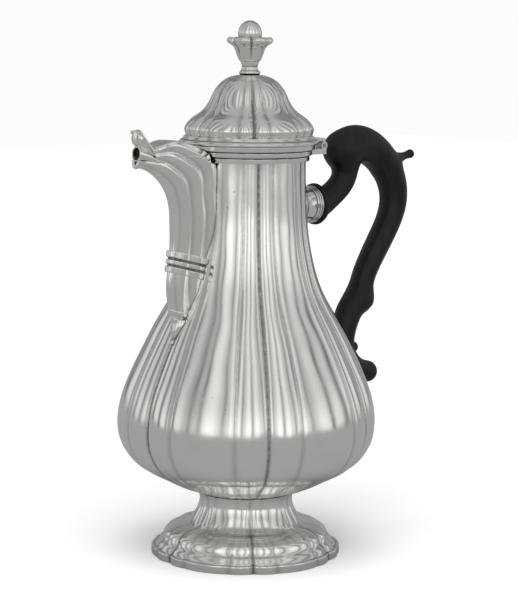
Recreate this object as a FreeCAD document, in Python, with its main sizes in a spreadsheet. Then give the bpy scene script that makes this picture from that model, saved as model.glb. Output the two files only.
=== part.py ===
import FreeCAD, Part
import Sketcher
import math
import os

# A lobed coffee pot, raised in silver, with a hinged lid and a wooden handle. Millimetres.
# +Z is up, the spout points to -X and the handle to +X. The origin is on the table, under
# the middle of the foot.

doc = FreeCAD.newDocument("CoffeePot")
V = FreeCAD.Vector
crossAxis = V(0, 1, 0)

# Driving dimensions: name, millimetres or degrees, what it is
dimensions = (
    ("wallThick", 0.9, "thickness of the raised silver sheet"),
    ("lobeCount", 6, "main creases around the pot"),
    ("narrowLobe", 15, "degrees of the narrow lobe beside each main crease"),
    ("lidTurn", -5, "degrees the lid and foot lobes are turned from the body's"),
    ("rimRadius", 51.8, "outer radius of the foot's rim"),
    ("rimInner", 46.0, "inner radius of the foot's rim"),
    ("rimHeight", 4.6, "height of the foot's rim"),
    ("footTop", 34.4, "where the foot's stem ends"),
    ("stemTop", 26.2, "radius at the top of the foot's stem"),
    ("bodyBase", 35.6, "where the belly starts"),
    ("seamRadius", 27.0, "outer radius of the seam ring"),
    ("seamInner", 22.0, "inner radius of the seam ring"),
    ("neckTop", 224.4, "top edge of the neck"),
    ("neckRadius", 30.8, "radius at the top of the neck"),
    ("collarBase", 215.6, "underside of the neck collar"),
    ("collarInner", 31.1, "inner radius of the neck collar"),
    ("collarLow", 32.6, "radius of the lowest reed"),
    ("collarMiddle", 34.2, "radius of the middle reed"),
    ("collarHigh", 35.8, "radius of the upper reed"),
    ("reedOne", 218.4, "top of the lowest reed"),
    ("reedTwo", 221.4, "top of the middle reed"),
    ("flangeBase", 224.6, "underside of the lid's flange"),
    ("flangeRadius", 37.9, "outer radius of the lid's flange"),
    ("flangeEdge", 226.6, "top of the flange's edge"),
    ("flangeTop", 229.0, "where the dome sits on the flange"),
    ("flangeSeat", 34.4, "radius of the flange's top"),
    ("flangeInner", 29.0, "inner radius of the lid's flange"),
    ("bezelOuter", 28.7, "outer radius of the ring inside the neck"),
    ("bezelInner", 27.8, "inner radius of the ring inside the neck"),
    ("bezelBase", 219.6, "lower edge of the ring inside the neck"),
    ("domeTop", 261.0, "top of the dome"),
    ("studRadius", 2.0, "radius of the finial's threaded stud"),
    ("studBase", 254.0, "lower end of the stud"),
    ("studTop", 283.0, "upper end of the stud"),
    ("nutAcross", 7.0, "width of the nut across its flats"),
    ("nutBase", 255.9, "underside of the nut"),
    ("nutHeight", 3.6, "height of the nut"),
    ("hingeReach", 47.0, "distance of the hinge pin from the pot's axis"),
    ("hingeHeight", 222.4, "height of the hinge pin"),
    ("knuckleRadius", 2.2, "outer radius of the knuckles"),
    ("knuckleBore", 1.05, "radius of the hole through the knuckles"),
    ("hingePinRadius", 1.0, "radius of the hinge pin"),
    ("hingeWidth", 17.0, "length of the whole hinge"),
    ("middleKnuckle", 5.6, "length of the lid's knuckle"),
    ("socketHeight", 189.5, "height of the upper socket"),
    ("socketRadius", 9.5, "outer radius of the upper socket"),
    ("socketBore", 8.5, "inner radius of the upper socket"),
    ("socketBead", 10.2, "radius of the upper socket's end moulding"),
    ("socketStart", 34.2, "where the upper socket leaves its seat"),
    ("socketEnd", 46.4, "mouth of the upper socket"),
    ("socketPinReach", 41.6, "distance of the upper handle pin from the axis"),
    ("lowHeight", 101.5, "height of the lower socket"),
    ("lowRadius", 6.1, "outer radius of the lower socket"),
    ("lowBore", 5.2, "inner radius of the lower socket"),
    ("lowStart", 66.6, "where the lower socket leaves its seat"),
    ("lowEnd", 69.8, "mouth of the lower socket"),
    ("handlePinRadius", 1.2, "radius of the two handle pins"),
    ("handlePinBore", 1.25, "radius of the holes for the handle pins"),
    ("tenonGap", 0.05, "clearance of the wooden tenons in the sockets"),
)

sheet = doc.addObject("Spreadsheet::Sheet", "Dimensions")
size = {}
for row, (word, value, meaning) in enumerate(dimensions, start=1):
    sheet.set("A%d" % row, word)
    sheet.set("B%d" % row, str(value))
    sheet.set("C%d" % row, meaning)
    sheet.setAlias("B%d" % row, word)
    size[word] = float(value)
doc.recompute()

parts = []


def keep(thing, label):
    # A finished sub-part, under the name of its file
    thing.Label = label
    parts.append(thing)
    return thing


def shaped(label, shape):
    # A sub-part whose surface is a formula
    thing = doc.addObject("Part::Feature", label)
    thing.Shape = shape
    thing.Placement = FreeCAD.Placement()
    return keep(thing, label)


def bind(thing, **cells):
    for prop, formula in cells.items():
        thing.setExpression(prop, formula)


def originPlane(body, role):
    return next(f for f in body.Origin.OriginFeatures if f.Role == role)


def cell(word):
    return "Dimensions." + word


def profileSketch(body, name, corners):
    # A closed outline on the XZ plane. Each corner is two cells: its X and its Z.
    sketch = body.newObject("Sketcher::SketchObject", name)
    sketch.AttachmentSupport = [(originPlane(body, "XZ_Plane"), "")]
    sketch.MapMode = "FlatFace"
    points = [V(size[x], size[z], 0) for x, z in corners]
    for here, there in zip(points, points[1:] + points[:1]):
        sketch.addGeometry(Part.LineSegment(here, there), False)
    count = len(points)
    for i in range(count):
        sketch.addConstraint(Sketcher.Constraint("Coincident", i, 2, (i + 1) % count, 1))
    for i, (x, z) in enumerate(corners):
        across = sketch.addConstraint(Sketcher.Constraint("DistanceX", -1, 1, i, 1, points[i].x))
        sketch.setExpression("Constraints[%d]" % across, cell(x))
        rise = sketch.addConstraint(Sketcher.Constraint("DistanceY", -1, 1, i, 1, points[i].y))
        sketch.setExpression("Constraints[%d]" % rise, cell(z))
    return sketch


def turned(label, corners):
    # A ring turned about the pot's axis
    body = doc.addObject("PartDesign::Body", label)
    sketch = profileSketch(body, label + "Outline", corners)
    turning = body.newObject("PartDesign::Revolution", label + "Turned")
    turning.Profile = sketch
    turning.ReferenceAxis = (sketch, ["V_Axis"])
    turning.Angle = 360
    body.Tip = turning
    return body


# --- lobed surfaces ---------------------------------------------------------------------

def polar(radius, degrees, height):
    angle = math.radians(degrees)
    return V(radius * math.cos(angle), radius * math.sin(angle), height)


def scallops(radius, height, corners, swell, turn=0):
    # A ring of arcs. Each corner is an angle and how far it lies inside the radius, and
    # each arc between two corners comes within swell of the radius at its middle.
    edges = []
    for here, there in zip(corners, corners[1:]):
        middle = (here[0] + there[0]) / 2
        start = polar(radius - here[1], turn + here[0], height)
        crest = polar(radius - swell(there[0] - here[0]), turn + middle, height)
        end = polar(radius - there[1], turn + there[0], height)
        edges.append(Part.Arc(start, crest, end).toShape())
    return Part.Wire(edges)


def lobedWire(height, radius, crease, turn=0):
    # Main creases at every sixth, with a soft groove between the narrow and broad lobes
    sector = 360 / size["lobeCount"]
    narrow = size["narrowLobe"]
    groove = 0.4 * crease
    corners = [(0, crease)]
    for k in range(int(size["lobeCount"])):
        base = k * sector
        corners.append((base + narrow, groove))
        corners.append((base + sector - narrow, groove))
        corners.append((base + sector, crease))
    return scallops(radius, height, corners, lambda span: 0.2 * crease if span <= narrow else 0, turn)


def inset(outline, thick):
    # The same outline moved inwards by the wall's thickness, square to its slope
    moved = []
    for i, (height, radius, crease) in enumerate(outline):
        before = outline[max(i - 1, 0)]
        after = outline[min(i + 1, len(outline) - 1)]
        rise = after[0] - before[0]
        run = after[1] - before[1]
        length = math.hypot(rise, run)
        moved.append((height + thick * run / length, radius - thick * rise / length, crease))
    return moved


def smoothLoft(wires):
    # Cubic at most, so that the surface doesn't swing past its sections
    solid = True
    ruled = False
    closed = False
    highestDegree = 3
    return Part.makeLoft(wires, solid, ruled, closed, highestDegree)


def lobedSolid(outline, turn=0):
    wires = [lobedWire(height, radius, crease, turn) for height, radius, crease in outline]
    return smoothLoft(wires)


def reach(outline, below=0, above=0):
    # An outline drawn out straight past its ends, so that a hollow breaks through
    first = outline[0]
    last = outline[-1]
    low = [(first[0] - below, first[1], first[2])] if below else []
    high = [(last[0] + above, last[1], last[2])] if above else []
    return low + list(outline) + high


# --- body and foot ----------------------------------------------------------------------

# Height, crest radius and depth of the main creases
bellyOutline = (
    (size["bodyBase"], 26.4, 0.5),
    (37.4, 34.0, 0.9),
    (40.6, 41.6, 1.4),
    (45.0, 50.0, 1.9),
    (50.6, 59.8, 2.3),
    (58.0, 66.2, 2.6),
    (66.0, 69.8, 2.7),
    (75.0, 70.7, 2.7),
    (86.0, 69.0, 2.6),
    (100.0, 64.0, 2.5),
    (115.0, 56.8, 2.4),
    (130.0, 48.9, 2.2),
    (143.0, 41.6, 1.9),
    (156.0, 36.8, 1.6),
    (170.0, 33.8, 1.5),
    (186.0, 31.9, 1.4),
    (203.0, 31.1, 1.3),
    (214.0, size["neckRadius"], 1.2),
    (size["neckTop"], size["neckRadius"], 0.3),
)
footSkirtOutline = (
    (size["rimHeight"], 49.9, 1.5),
    (5.6, 48.9, 1.4),
    (7.2, 47.6, 1.3),
    (9.2, 45.6, 1.3),
    (12.0, 44.6, 1.2),
    (14.0, 42.6, 1.1),
    (15.5, 39.8, 1.0),
    (16.4, 36.6, 0.9),
    (16.8, 33.4, 0.8),
)
footStemOutline = (
    (16.8, 33.4, 0.8),
    (18.2, 31.0, 0.7),
    (21.0, 28.8, 0.7),
    (25.0, 26.6, 0.6),
    (29.0, 25.5, 0.5),
    (32.0, 25.6, 0.5),
    (size["footTop"], size["stemTop"], 0.4),
)
bodyOuter = lobedSolid(bellyOutline)
mouthReach = 6


def strainer():
    # Holes through the body wall behind the spout, in staggered rows
    holeRadius = 1.5
    rowPitch = 5.2
    columnPitch = 4.4
    firstRow = 150
    rows = 11
    drills = []
    for row in range(rows):
        offsets = (-columnPitch, 0, columnPitch) if row % 2 else (-columnPitch / 2, columnPitch / 2)
        for across in offsets:
            start = V(-size["collarHigh"] - 5, across, firstRow + row * rowPitch)
            drills.append(Part.makeCylinder(holeRadius, 20, start, V(1, 0, 0)))
    return Part.makeCompound(drills)


def makeBody():
    hollow = lobedSolid(reach(inset(bellyOutline, size["wallThick"]), above=mouthReach))
    shaped("body", bodyOuter.cut(hollow).cut(strainer()))


def makeFoot():
    skirt = lobedSolid(footSkirtOutline, size["lidTurn"])
    stem = lobedSolid(footStemOutline, size["lidTurn"])
    wall = size["wallThick"]
    underSkirt = lobedSolid(reach(inset(footSkirtOutline, wall), below=3), size["lidTurn"])
    underStem = lobedSolid(reach(inset(footStemOutline, wall), below=1, above=2), size["lidTurn"])
    shaped("foot", skirt.fuse(stem).cut(underSkirt).cut(underStem).removeSplitter())


def makeFootRim():
    crease = 2.0
    outer = lobedWire(0, size["rimRadius"], crease, size["lidTurn"])
    inner = Part.makeCylinder(size["rimInner"], 3 * size["rimHeight"], V(0, 0, -size["rimHeight"]))
    shaped("foot_rim", Part.Face(outer).extrude(V(0, 0, size["rimHeight"])).cut(inner))


def makeSeamRing():
    corners = (("seamInner", "footTop"), ("seamRadius", "footTop"),
               ("seamRadius", "bodyBase"), ("seamInner", "bodyBase"))
    keep(turned("foot_joint_ring", corners), "foot_joint_ring")


def makeCollar():
    corners = (("collarInner", "collarBase"), ("collarLow", "collarBase"),
               ("collarLow", "reedOne"), ("collarMiddle", "reedOne"),
               ("collarMiddle", "reedTwo"), ("collarHigh", "reedTwo"),
               ("collarHigh", "neckTop"), ("collarInner", "neckTop"))
    keep(turned("neck_collar", corners), "neck_collar")


# --- spout ------------------------------------------------------------------------------

# Each section of the spout is measured back from a line that crosses outside its bend:
# (bendReach, bendHeight). It holds the distances of the keel and of the back from that
# line, the half width, and the distance of the channel's back.
bendReach = 79.0
bendHeight = 188.0
backReach = 52.0
levelSections = (
    # height, keel, half width
    (131.0, 28.4, 4.5),
    (138.0, 25.5, 5.1),
    (145.0, 24.0, 5.6),
    (152.0, 23.6, 5.9),
    (160.0, 24.5, 6.3),
    (167.0, 25.5, 6.7),
    (175.0, 26.1, 7.3),
)
bendSections = (
    # turn in degrees, keel, back, half width, back of the channel
    (0, 26.0, 52.0, 8.2, 51.0),
    (15, 26.0, 52.0, 8.4, 51.0),
    (30, 26.0, 57.0, 8.6, 56.0),
    (45, 26.0, 56.5, 8.3, 54.0),
    (60, 26.2, 45.8, 7.4, 43.6),
    (74, 26.4, 38.9, 5.6, 36.6),
    (86, 26.4, 46.0, 4.0, 36.0),
)
flutes = 3
lipCorner = (65.5, 217.0)
lipFront = (82.0, 216.4, 227.0)
seamStart = (25.0, 213.9)
seamEnd = (82.0, 219.8)


def spoutSection(keel, back, halfWidth, place):
    # A closed beak section: flutes down both sides, a round keel and a straight back
    noseWidth = 0.42 * halfWidth
    flankShare = 0.9
    bulge = 0.14 * halfWidth
    points = []
    for k in range(flutes + 1):
        share = k / flutes
        along = back + (keel - back) * flankShare * share
        points.append(V(along, halfWidth + (noseWidth - halfWidth) * share ** 1.5, 0))
    flank = []
    for near, far in zip(points, points[1:]):
        flank.append((near, (near + far) * 0.5 + V(0, bulge, 0), far))
    other = [tuple(V(p.x, -p.y, 0) for p in reversed(arc)) for arc in reversed(flank)]
    nose = (points[-1], V(keel, 0, 0), V(points[-1].x, -points[-1].y, 0))
    edges = [Part.Arc(*arc).toShape() for arc in flank + [nose] + other]
    edges.append(Part.makeLine(V(back, -halfWidth, 0), V(back, halfWidth, 0)))
    wire = Part.Wire(edges)
    wire.Placement = place
    return wire


def levelPlace(height):
    return FreeCAD.Placement(V(-bendReach, 0, height), FreeCAD.Rotation())


def bendPlace(turn):
    return FreeCAD.Placement(V(-bendReach, 0, bendHeight), FreeCAD.Rotation(crossAxis, -turn))


def spoutOutside():
    wires = [spoutSection(keel, backReach, half, levelPlace(height))
             for height, keel, half in levelSections]
    wires += [spoutSection(keel, back, half, bendPlace(turn))
              for turn, keel, back, half, channel in bendSections]
    return smoothLoft(wires)


def spoutChannel():
    # The channel starts above the closed foot of the spout and runs out past the lips
    thick = size["wallThick"]
    floorLift = 2.5
    wires = []
    for height, keel, half in levelSections:
        lift = floorLift if height == levelSections[0][0] else 0
        wires.append(spoutSection(keel + thick, backReach, half - thick, levelPlace(height + lift)))
    for turn, keel, back, half, channel in bendSections:
        wires.append(spoutSection(keel + thick, channel, half - thick, bendPlace(turn)))
    turn, keel, back, half, channel = bendSections[-1]
    wires.append(spoutSection(keel + thick, channel, half - thick, bendPlace(turn + 8)))
    return smoothLoft(wires)


def sidePrism(corners, halfSpan=30):
    # A prism across the pot, from corners given as reach towards the spout and height
    points = [V(-reach, -halfSpan, height) for reach, height in corners]
    outline = Part.makePolygon(points + points[:1])
    return Part.Face(outline).extrude(V(0, 2 * halfSpan, 0))


def keepOut():
    # What the spout is cut back from: the body, the collar and the lid's flange
    gap = 0.05
    flangeGap = 0.9
    tall = 40
    collar = Part.makeCylinder(size["collarHigh"] + gap, tall, V(0, 0, size["collarBase"] - gap))
    flange = Part.makeCylinder(size["flangeRadius"] + flangeGap, tall, V(0, 0, size["neckTop"] - 1))
    return [bodyOuter, collar, flange]


outside = spoutOutside()


def makeSpout():
    shell = outside.cut(spoutChannel())
    for solid in keepOut():
        shell = shell.cut(solid)
    slit = sidePrism((lipCorner, (lipFront[0], lipFront[1]), (lipFront[0], lipFront[2])))
    overAll = 250
    above = sidePrism((seamStart, lipCorner, seamEnd, (seamEnd[0], overAll), (seamStart[0], overAll)))
    shell = shell.cut(slit)
    shaped("spout", largest(shell.cut(above)))
    shaped("spout_cover", largest(shell.common(above)))


def largest(shape):
    return max(shape.Solids, key=lambda solid: solid.Volume)


def bandSlab(low, high, grow):
    # A slice of the spout made a little larger than the spout itself
    wires = []
    for height in (low, high):
        rows = zip(levelSections, levelSections[1:])
        before, after = next(pair for pair in rows if pair[0][0] <= height <= pair[1][0])
        share = (height - before[0]) / (after[0] - before[0])
        keel = before[1] + share * (after[1] - before[1])
        half = before[2] + share * (after[2] - before[2])
        wires.append(spoutSection(keel - grow, backReach, half + grow, levelPlace(height)))
    return smoothLoft(wires)


def makeBand(label, slabs):
    # Mouldings that follow one another up the spout, hugging it. They fall from the keel
    # towards the pot: the slabs are sheared about a line across the spout.
    fall = 0.26
    pivot = 30.0 - bendReach
    solid = bandSlab(*slabs[0])
    for slab in slabs[1:]:
        solid = solid.fuse(bandSlab(*slab))
    shear = FreeCAD.Matrix()
    shear.A31 = -fall
    shear.A34 = fall * pivot
    band = largest(solid.transformGeometry(shear).cut(outside).cut(bodyOuter))
    shaped(label, band)
    return band


def makeBands():
    makeBand("spout_upper_band", ((157.3, 160.6, 1.4), (160.6, 162.0, 0.8), (162.0, 164.2, 1.2),
                                  (164.2, 165.6, 0.8), (165.6, 168.9, 1.4)))
    return makeBand("spout_lower_rings", ((131.0, 133.4, 1.1), (133.4, 135.2, 0.5),
                                          (135.2, 137.7, 1.1)))


def circleAt(centre, radius, tilt):
    # A circle square to a path in the XZ plane that climbs at tilt degrees from +X
    wire = Part.Wire(Part.makeCircle(radius))
    wire.Placement = FreeCAD.Placement(centre, FreeCAD.Rotation(crossAxis, 90 - tilt))
    return wire


def makeDrop(rings):
    # Reach, height and radius down the drop, then a bead at its tip
    stations = ((45.6, 132.0, 4.9), (47.3, 128.6, 4.4), (48.9, 125.6, 3.2), (50.4, 122.9, 1.6))
    beadReach = 51.3
    beadHeight = 121.2
    beadRadius = 1.8
    wires = [circleAt(V(-reach, 0, height), radius, 90) for reach, height, radius in stations]
    bead = Part.makeSphere(beadRadius, V(-beadReach, 0, beadHeight))
    drop = smoothLoft(wires).fuse(bead).cut(bodyOuter).cut(outside).cut(rings)
    shaped("spout_drop", largest(drop))


# --- lid and finial ---------------------------------------------------------------------

domeOutline = (
    (size["flangeTop"], 34.0, 2.6),
    (232.6, 34.8, 2.9),
    (235.4, 33.4, 2.8),
    (238.2, 30.7, 2.5),
    (240.6, 27.2, 2.1),
    (243.6, 23.9, 1.7),
    (247.2, 21.6, 1.3),
    (251.2, 19.8, 1.0),
    (254.6, 17.7, 0.8),
    (257.4, 15.1, 0.6),
    (259.6, 11.8, 0.4),
    (size["domeTop"], 7.2, 0.2),
)
petalCount = 6
budHeight = 7.0
budRadius = 6.4
budMiddle = 283.0


def makeDome():
    outer = lobedSolid(domeOutline, size["lidTurn"])
    hollow = lobedSolid(reach(inset(domeOutline, size["wallThick"]), below=3), size["lidTurn"])
    hole = Part.makeCylinder(size["studRadius"] + 0.05, 20, V(0, 0, size["domeTop"] - 10))
    shaped("lid", outer.cut(hollow).cut(hole))


def makeFlange():
    corners = (("flangeInner", "flangeBase"), ("flangeRadius", "flangeBase"),
               ("flangeRadius", "flangeEdge"), ("flangeSeat", "flangeTop"),
               ("flangeInner", "flangeTop"))
    keep(turned("lid_flange", corners), "lid_flange")


def makeBezel():
    corners = (("bezelInner", "bezelBase"), ("bezelOuter", "bezelBase"),
               ("bezelOuter", "flangeTop"), ("bezelInner", "flangeTop"))
    keep(turned("lid_bezel", corners), "lid_bezel")


def studHole(radius, low, high):
    return Part.makeCylinder(radius, high - low, V(0, 0, low))


def makeFinialStem():
    # A base bead, a waist and a flare that carries the petals: height and radius
    stations = ((261.0, 5.2), (262.4, 5.9), (263.6, 4.9), (265.4, 4.2), (267.0, 4.4), (268.0, 5.0))
    wires = [Part.Wire(Part.makeCircle(radius, V(0, 0, height))) for height, radius in stations]
    hole = studHole(size["studRadius"] + 0.05, stations[0][0] - 1, stations[-1][0] + 1)
    shaped("finial_stem", smoothLoft(wires).cut(hole))


def budSolid():
    bud = Part.makeSphere(1, V(0, 0, 0))
    stretch = FreeCAD.Matrix()
    stretch.scale(budRadius, budRadius, budHeight)
    bud = bud.transformGeometry(stretch)
    bud.translate(V(0, 0, budMiddle))
    return bud


def makeCalyx():
    # Six petals that hug the bud and roll outwards at their tips: height, radius, cusp depth
    stations = ((268.0, 5.0, 0.1), (270.4, 6.6, 0.4), (273.2, 7.6, 0.8), (276.0, 8.8, 1.4),
                (278.0, 12.0, 2.8), (279.8, 12.6, 3.0), (281.4, 11.4, 2.6))
    sector = 360 / petalCount
    wires = []
    for height, radius, cusp in stations:
        corners = [(k * sector, cusp) for k in range(petalCount + 1)]
        wires.append(scallops(radius, height, corners, lambda span: 0, size["lidTurn"]))
    cup = smoothLoft(wires)
    hole = studHole(size["studRadius"] + 0.05, stations[0][0] - 1, budMiddle - budHeight + 1)
    shaped("finial_calyx", cup.cut(budSolid()).cut(hole))


def makeBud():
    hole = studHole(size["studRadius"] + 0.05, budMiddle - budHeight - 1, size["studTop"] + 0.1)
    shaped("finial_bud", budSolid().cut(hole))


def makeStud():
    stud = doc.addObject("Part::Cylinder", "finial_stud")
    bind(stud, Radius=cell("studRadius"), Height=cell("studTop") + " - " + cell("studBase"))
    bind(stud, **{"Placement.Base.z": cell("studBase")})
    keep(stud, "finial_stud")


def makeNut():
    blank = doc.addObject("Part::Prism", "nutBlank")
    blank.Polygon = 6
    bind(blank, Circumradius=cell("nutAcross") + " / 1.7320508", Height=cell("nutHeight"))
    bind(blank, **{"Placement.Base.z": cell("nutBase")})
    bore = doc.addObject("Part::Cylinder", "nutBore")
    bind(bore, Radius=cell("studRadius") + " + 0.05", Height=cell("nutHeight") + " * 3")
    bind(bore, **{"Placement.Base.z": cell("nutBase") + " - " + cell("nutHeight")})
    nut = doc.addObject("Part::Cut", "finial_nut")
    nut.Base = blank
    nut.Tool = bore
    keep(nut, "finial_nut")


# --- hinge ------------------------------------------------------------------------------

def crossCylinder(radius, low, high):
    # A cylinder on the hinge's axis, from one station across the pot to another
    base = V(size["hingeReach"], low, size["hingeHeight"])
    return Part.makeCylinder(radius, high - low, base, crossAxis)


def block(x0, x1, y0, y1, z0, z1):
    return Part.makeBox(x1 - x0, y1 - y0, z1 - z0, V(x0, y0, z0))


leafGap = 0.15
leafRoot = 30.0


def makeBodyLeaf():
    # A plate on the collar, with a knuckle at each end
    half = size["hingeWidth"] / 2
    middle = size["middleKnuckle"] / 2 + leafGap
    reachX = size["hingeReach"]
    under = 217.6
    plateThick = 3.0
    top = size["hingeHeight"] - 0.4
    leaf = block(leafRoot, reachX + 1.4, -half, half, under, under + plateThick)
    leaf = leaf.fuse(block(reachX - 1.6, reachX + 1.4, -half, half, under, top))
    leaf = leaf.fuse(crossCylinder(size["knuckleRadius"], -half, half))
    leaf = leaf.cut(block(reachX - 3.6, reachX + 6, -middle, middle, 210, 230))
    leaf = leaf.cut(crossCylinder(size["knuckleBore"], -20, 20))
    leaf = leaf.cut(Part.makeCylinder(size["collarHigh"] + 0.02, 20, V(0, 0, 210)))
    shaped("body_hinge_leaf", largest(leaf))


def makeLidLeaf():
    # A plate on the flange's edge that passes over the knuckles, with one knuckle below
    half = size["hingeWidth"] / 2
    middle = size["middleKnuckle"] / 2
    reachX = size["hingeReach"]
    plateBase = size["hingeHeight"] + size["knuckleRadius"] + leafGap
    plateTop = size["flangeEdge"] - 0.1
    leaf = block(leafRoot, reachX + 0.6, -half, half, plateBase, plateTop)
    leaf = leaf.fuse(crossCylinder(size["knuckleRadius"], -middle, middle))
    leaf = leaf.fuse(block(reachX - 1.8, reachX + 0.6, -middle, middle, size["hingeHeight"], plateTop - 0.5))
    leaf = leaf.cut(crossCylinder(size["knuckleBore"], -20, 20))
    leaf = leaf.cut(Part.makeCylinder(size["flangeRadius"], 20, V(0, 0, 215)))
    shaped("lid_hinge_leaf", largest(leaf))


def makeHingePin():
    pin = doc.addObject("Part::Cylinder", "hinge_pin")
    bind(pin, Radius=cell("hingePinRadius"), Height=cell("hingeWidth") + " + 0.8")
    pin.Placement = FreeCAD.Placement(V(), FreeCAD.Rotation(V(1, 0, 0), -90))
    bind(pin, **{"Placement.Base.x": cell("hingeReach"), "Placement.Base.z": cell("hingeHeight"),
                 "Placement.Base.y": "-(" + cell("hingeWidth") + " + 0.8) / 2"})
    keep(pin, "hinge_pin")


# --- handle and its sockets -------------------------------------------------------------

def alongX(radius, start, end, height):
    return Part.makeCylinder(radius, end - start, V(start, 0, height), V(1, 0, 0))


def alongY(radius, reachX, height, halfLength):
    base = V(reachX, -halfLength, height)
    return Part.makeCylinder(radius, 2 * halfLength, base, crossAxis)


def seat(label, radius, end, height):
    # A disc between the body's lobes and the end of a socket
    disc = alongX(radius, end - 20, end, height)
    shaped(label, largest(disc.cut(bodyOuter)))


def makeUpperSocket():
    # A plain sleeve with a moulded mouth, pierced across for its pin
    beadLength = 4.6
    height = size["socketHeight"]
    sleeve = alongX(size["socketRadius"], size["socketStart"], size["socketEnd"], height)
    beadStart = size["socketEnd"] - beadLength
    pitch = beadLength / 3
    for k in range(3):
        start = beadStart + k * pitch
        sleeve = sleeve.fuse(alongX(size["socketBead"], start + 0.2, start + pitch - 0.2, height))
    sleeve = sleeve.cut(alongX(size["socketBore"], size["socketStart"] - 1, size["socketEnd"] + 1, height))
    sleeve = sleeve.cut(alongY(size["handlePinBore"], size["socketPinReach"], height, 20))
    shaped("upper_socket", sleeve)


def makeLowerSocket():
    height = size["lowHeight"]
    sleeve = alongX(size["lowRadius"], size["lowStart"], size["lowEnd"], height)
    sleeve = sleeve.cut(alongX(size["lowBore"], size["lowStart"] - 1, size["lowEnd"] + 1, height))
    sleeve = sleeve.cut(alongY(size["handlePinBore"], lowPinReach(), height, 20))
    shaped("lower_socket", sleeve)


def lowPinReach():
    return (size["lowStart"] + size["lowEnd"]) / 2


def makeHandlePins():
    radius = size["handlePinRadius"]
    upperHalf = size["socketBead"] + 0.3
    lowerHalf = size["lowRadius"] + 0.1
    shaped("upper_handle_pin", alongY(radius, size["socketPinReach"], size["socketHeight"], upperHalf))
    shaped("lower_handle_pin", alongY(radius, lowPinReach(), size["lowHeight"], lowerHalf))


# Reach, height and radius along the three runs of the handle
neckRun = ((49.0, 189.5, 8.6), (55.5, 191.6, 7.4), (62.0, 195.4, 7.0), (67.4, 200.2, 7.0),
           (70.4, 206.0, 7.1), (70.2, 214.0, 8.4))
archRun = ((68.6, 218.8, 11.6), (76.0, 221.6, 11.2), (84.4, 220.9, 10.7), (92.4, 217.2, 10.1),
           (99.6, 211.2, 9.5), (105.2, 203.4, 8.9), (108.2, 195.0, 8.4), (108.2, 186.4, 8.0),
           (104.6, 176.6, 7.6), (97.8, 165.6, 7.4), (90.6, 154.6, 7.1), (85.2, 143.6, 7.0),
           (83.4, 134.0, 7.3))
scrollRun = ((82.6, 134.2, 7.6), (77.0, 129.2, 7.6), (73.2, 122.8, 7.4), (70.9, 116.0, 7.2),
             (70.3, 109.2, 7.0), (72.2, 102.6, 6.8), (76.6, 97.0, 6.6), (82.8, 93.0, 6.3),
             (89.6, 91.0, 6.2))
spurRun = ((104.0, 209.6, 6.4), (110.4, 212.2, 4.6), (116.0, 213.6, 2.7), (121.0, 214.8, 2.6))


def tube(run):
    # A round-sectioned limb through its stations, each section square to the path
    wires = []
    for i, (reachX, height, radius) in enumerate(run):
        before = run[max(i - 1, 0)]
        after = run[min(i + 1, len(run) - 1)]
        tilt = math.degrees(math.atan2(after[1] - before[1], after[0] - before[0]))
        wires.append(circleAt(V(reachX, 0, height), radius, tilt))
    return smoothLoft(wires)


def ball(station, proud=0.0):
    # A ball at a station, proud of the limb it ends so that the two surfaces cross
    return Part.makeSphere(station[2] + proud, V(station[0], 0, station[1]))


def makeHandle():
    gap = size["tenonGap"]
    high = size["socketHeight"]
    low = size["lowHeight"]
    collarRadius = 11.6
    collarEnd = 50.4
    scoopRadius = 9.0
    scoopStart = 50.0
    cornerKnob = (89.0, 131.6, 4.0)
    leafKnob = (78.4, 106.2, 3.2)
    wood = tube(archRun)
    proud = 0.3
    pieces = [ball(archRun[0], proud), tube(neckRun), tube(scrollRun), ball(scrollRun[0], proud)]
    pieces += [ball(scrollRun[-1], proud), tube(spurRun), ball(spurRun[-1], proud)]
    pieces += [ball(cornerKnob), ball(leafKnob)]
    pieces += [alongX(collarRadius, size["socketEnd"] + gap, collarEnd, high)]
    for piece in pieces:
        wood = wood.fuse(piece)
    wood = wood.cut(alongX(size["lowRadius"] + 0.1, size["lowStart"] - 5, size["lowEnd"] + gap, low))
    wood = wood.cut(alongX(scoopRadius, scoopStart, size["lowStart"] + 0.1, low))
    upperTenon = alongX(size["socketBore"] - gap, size["socketStart"] + 1, size["socketEnd"] + 2, high)
    lowerTenon = alongX(size["lowBore"] - gap, size["lowStart"] + 0.4, size["lowEnd"] + 3, low)
    wood = wood.fuse(upperTenon).fuse(lowerTenon)
    wood = wood.cut(alongY(size["handlePinBore"], size["socketPinReach"], high, 20))
    wood = wood.cut(alongY(size["handlePinBore"], lowPinReach(), low, 20))
    shaped("handle", largest(wood))


makeFootRim()
makeFoot()
makeSeamRing()
makeBody()
makeCollar()
makeSpout()
rings = makeBands()
makeDrop(rings)
makeDome()
makeFlange()
makeBezel()
makeFinialStem()
makeCalyx()
makeBud()
makeStud()
makeNut()
makeBodyLeaf()
makeLidLeaf()
makeHingePin()
seat("upper_socket_plate", 11.4, size["socketStart"], size["socketHeight"])
makeUpperSocket()
seat("lower_socket_plate", 7.6, size["lowStart"], size["lowHeight"])
makeLowerSocket()
makeHandlePins()
makeHandle()

doc.recompute()
for thing in doc.Objects:
    if "Invalid" in thing.State or "Error" in thing.State:
        raise RuntimeError("%s did not build: %s" % (thing.Label, thing.State))
os.makedirs("parts", exist_ok=True)
for thing in parts:
    shape = thing.Shape
    if shape.isNull() or not shape.isValid():
        raise RuntimeError("%s has no valid shape" % thing.Label)
    print("%-20s %9.1f mm3, %d solid, %d faces"
          % (thing.Label, shape.Volume, len(shape.Solids), len(shape.Faces)))
    shape.exportStep("parts/%s.step" % thing.Label)
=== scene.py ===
import math

import bpy
import numpy as np
from mathutils import Matrix, Vector


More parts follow.
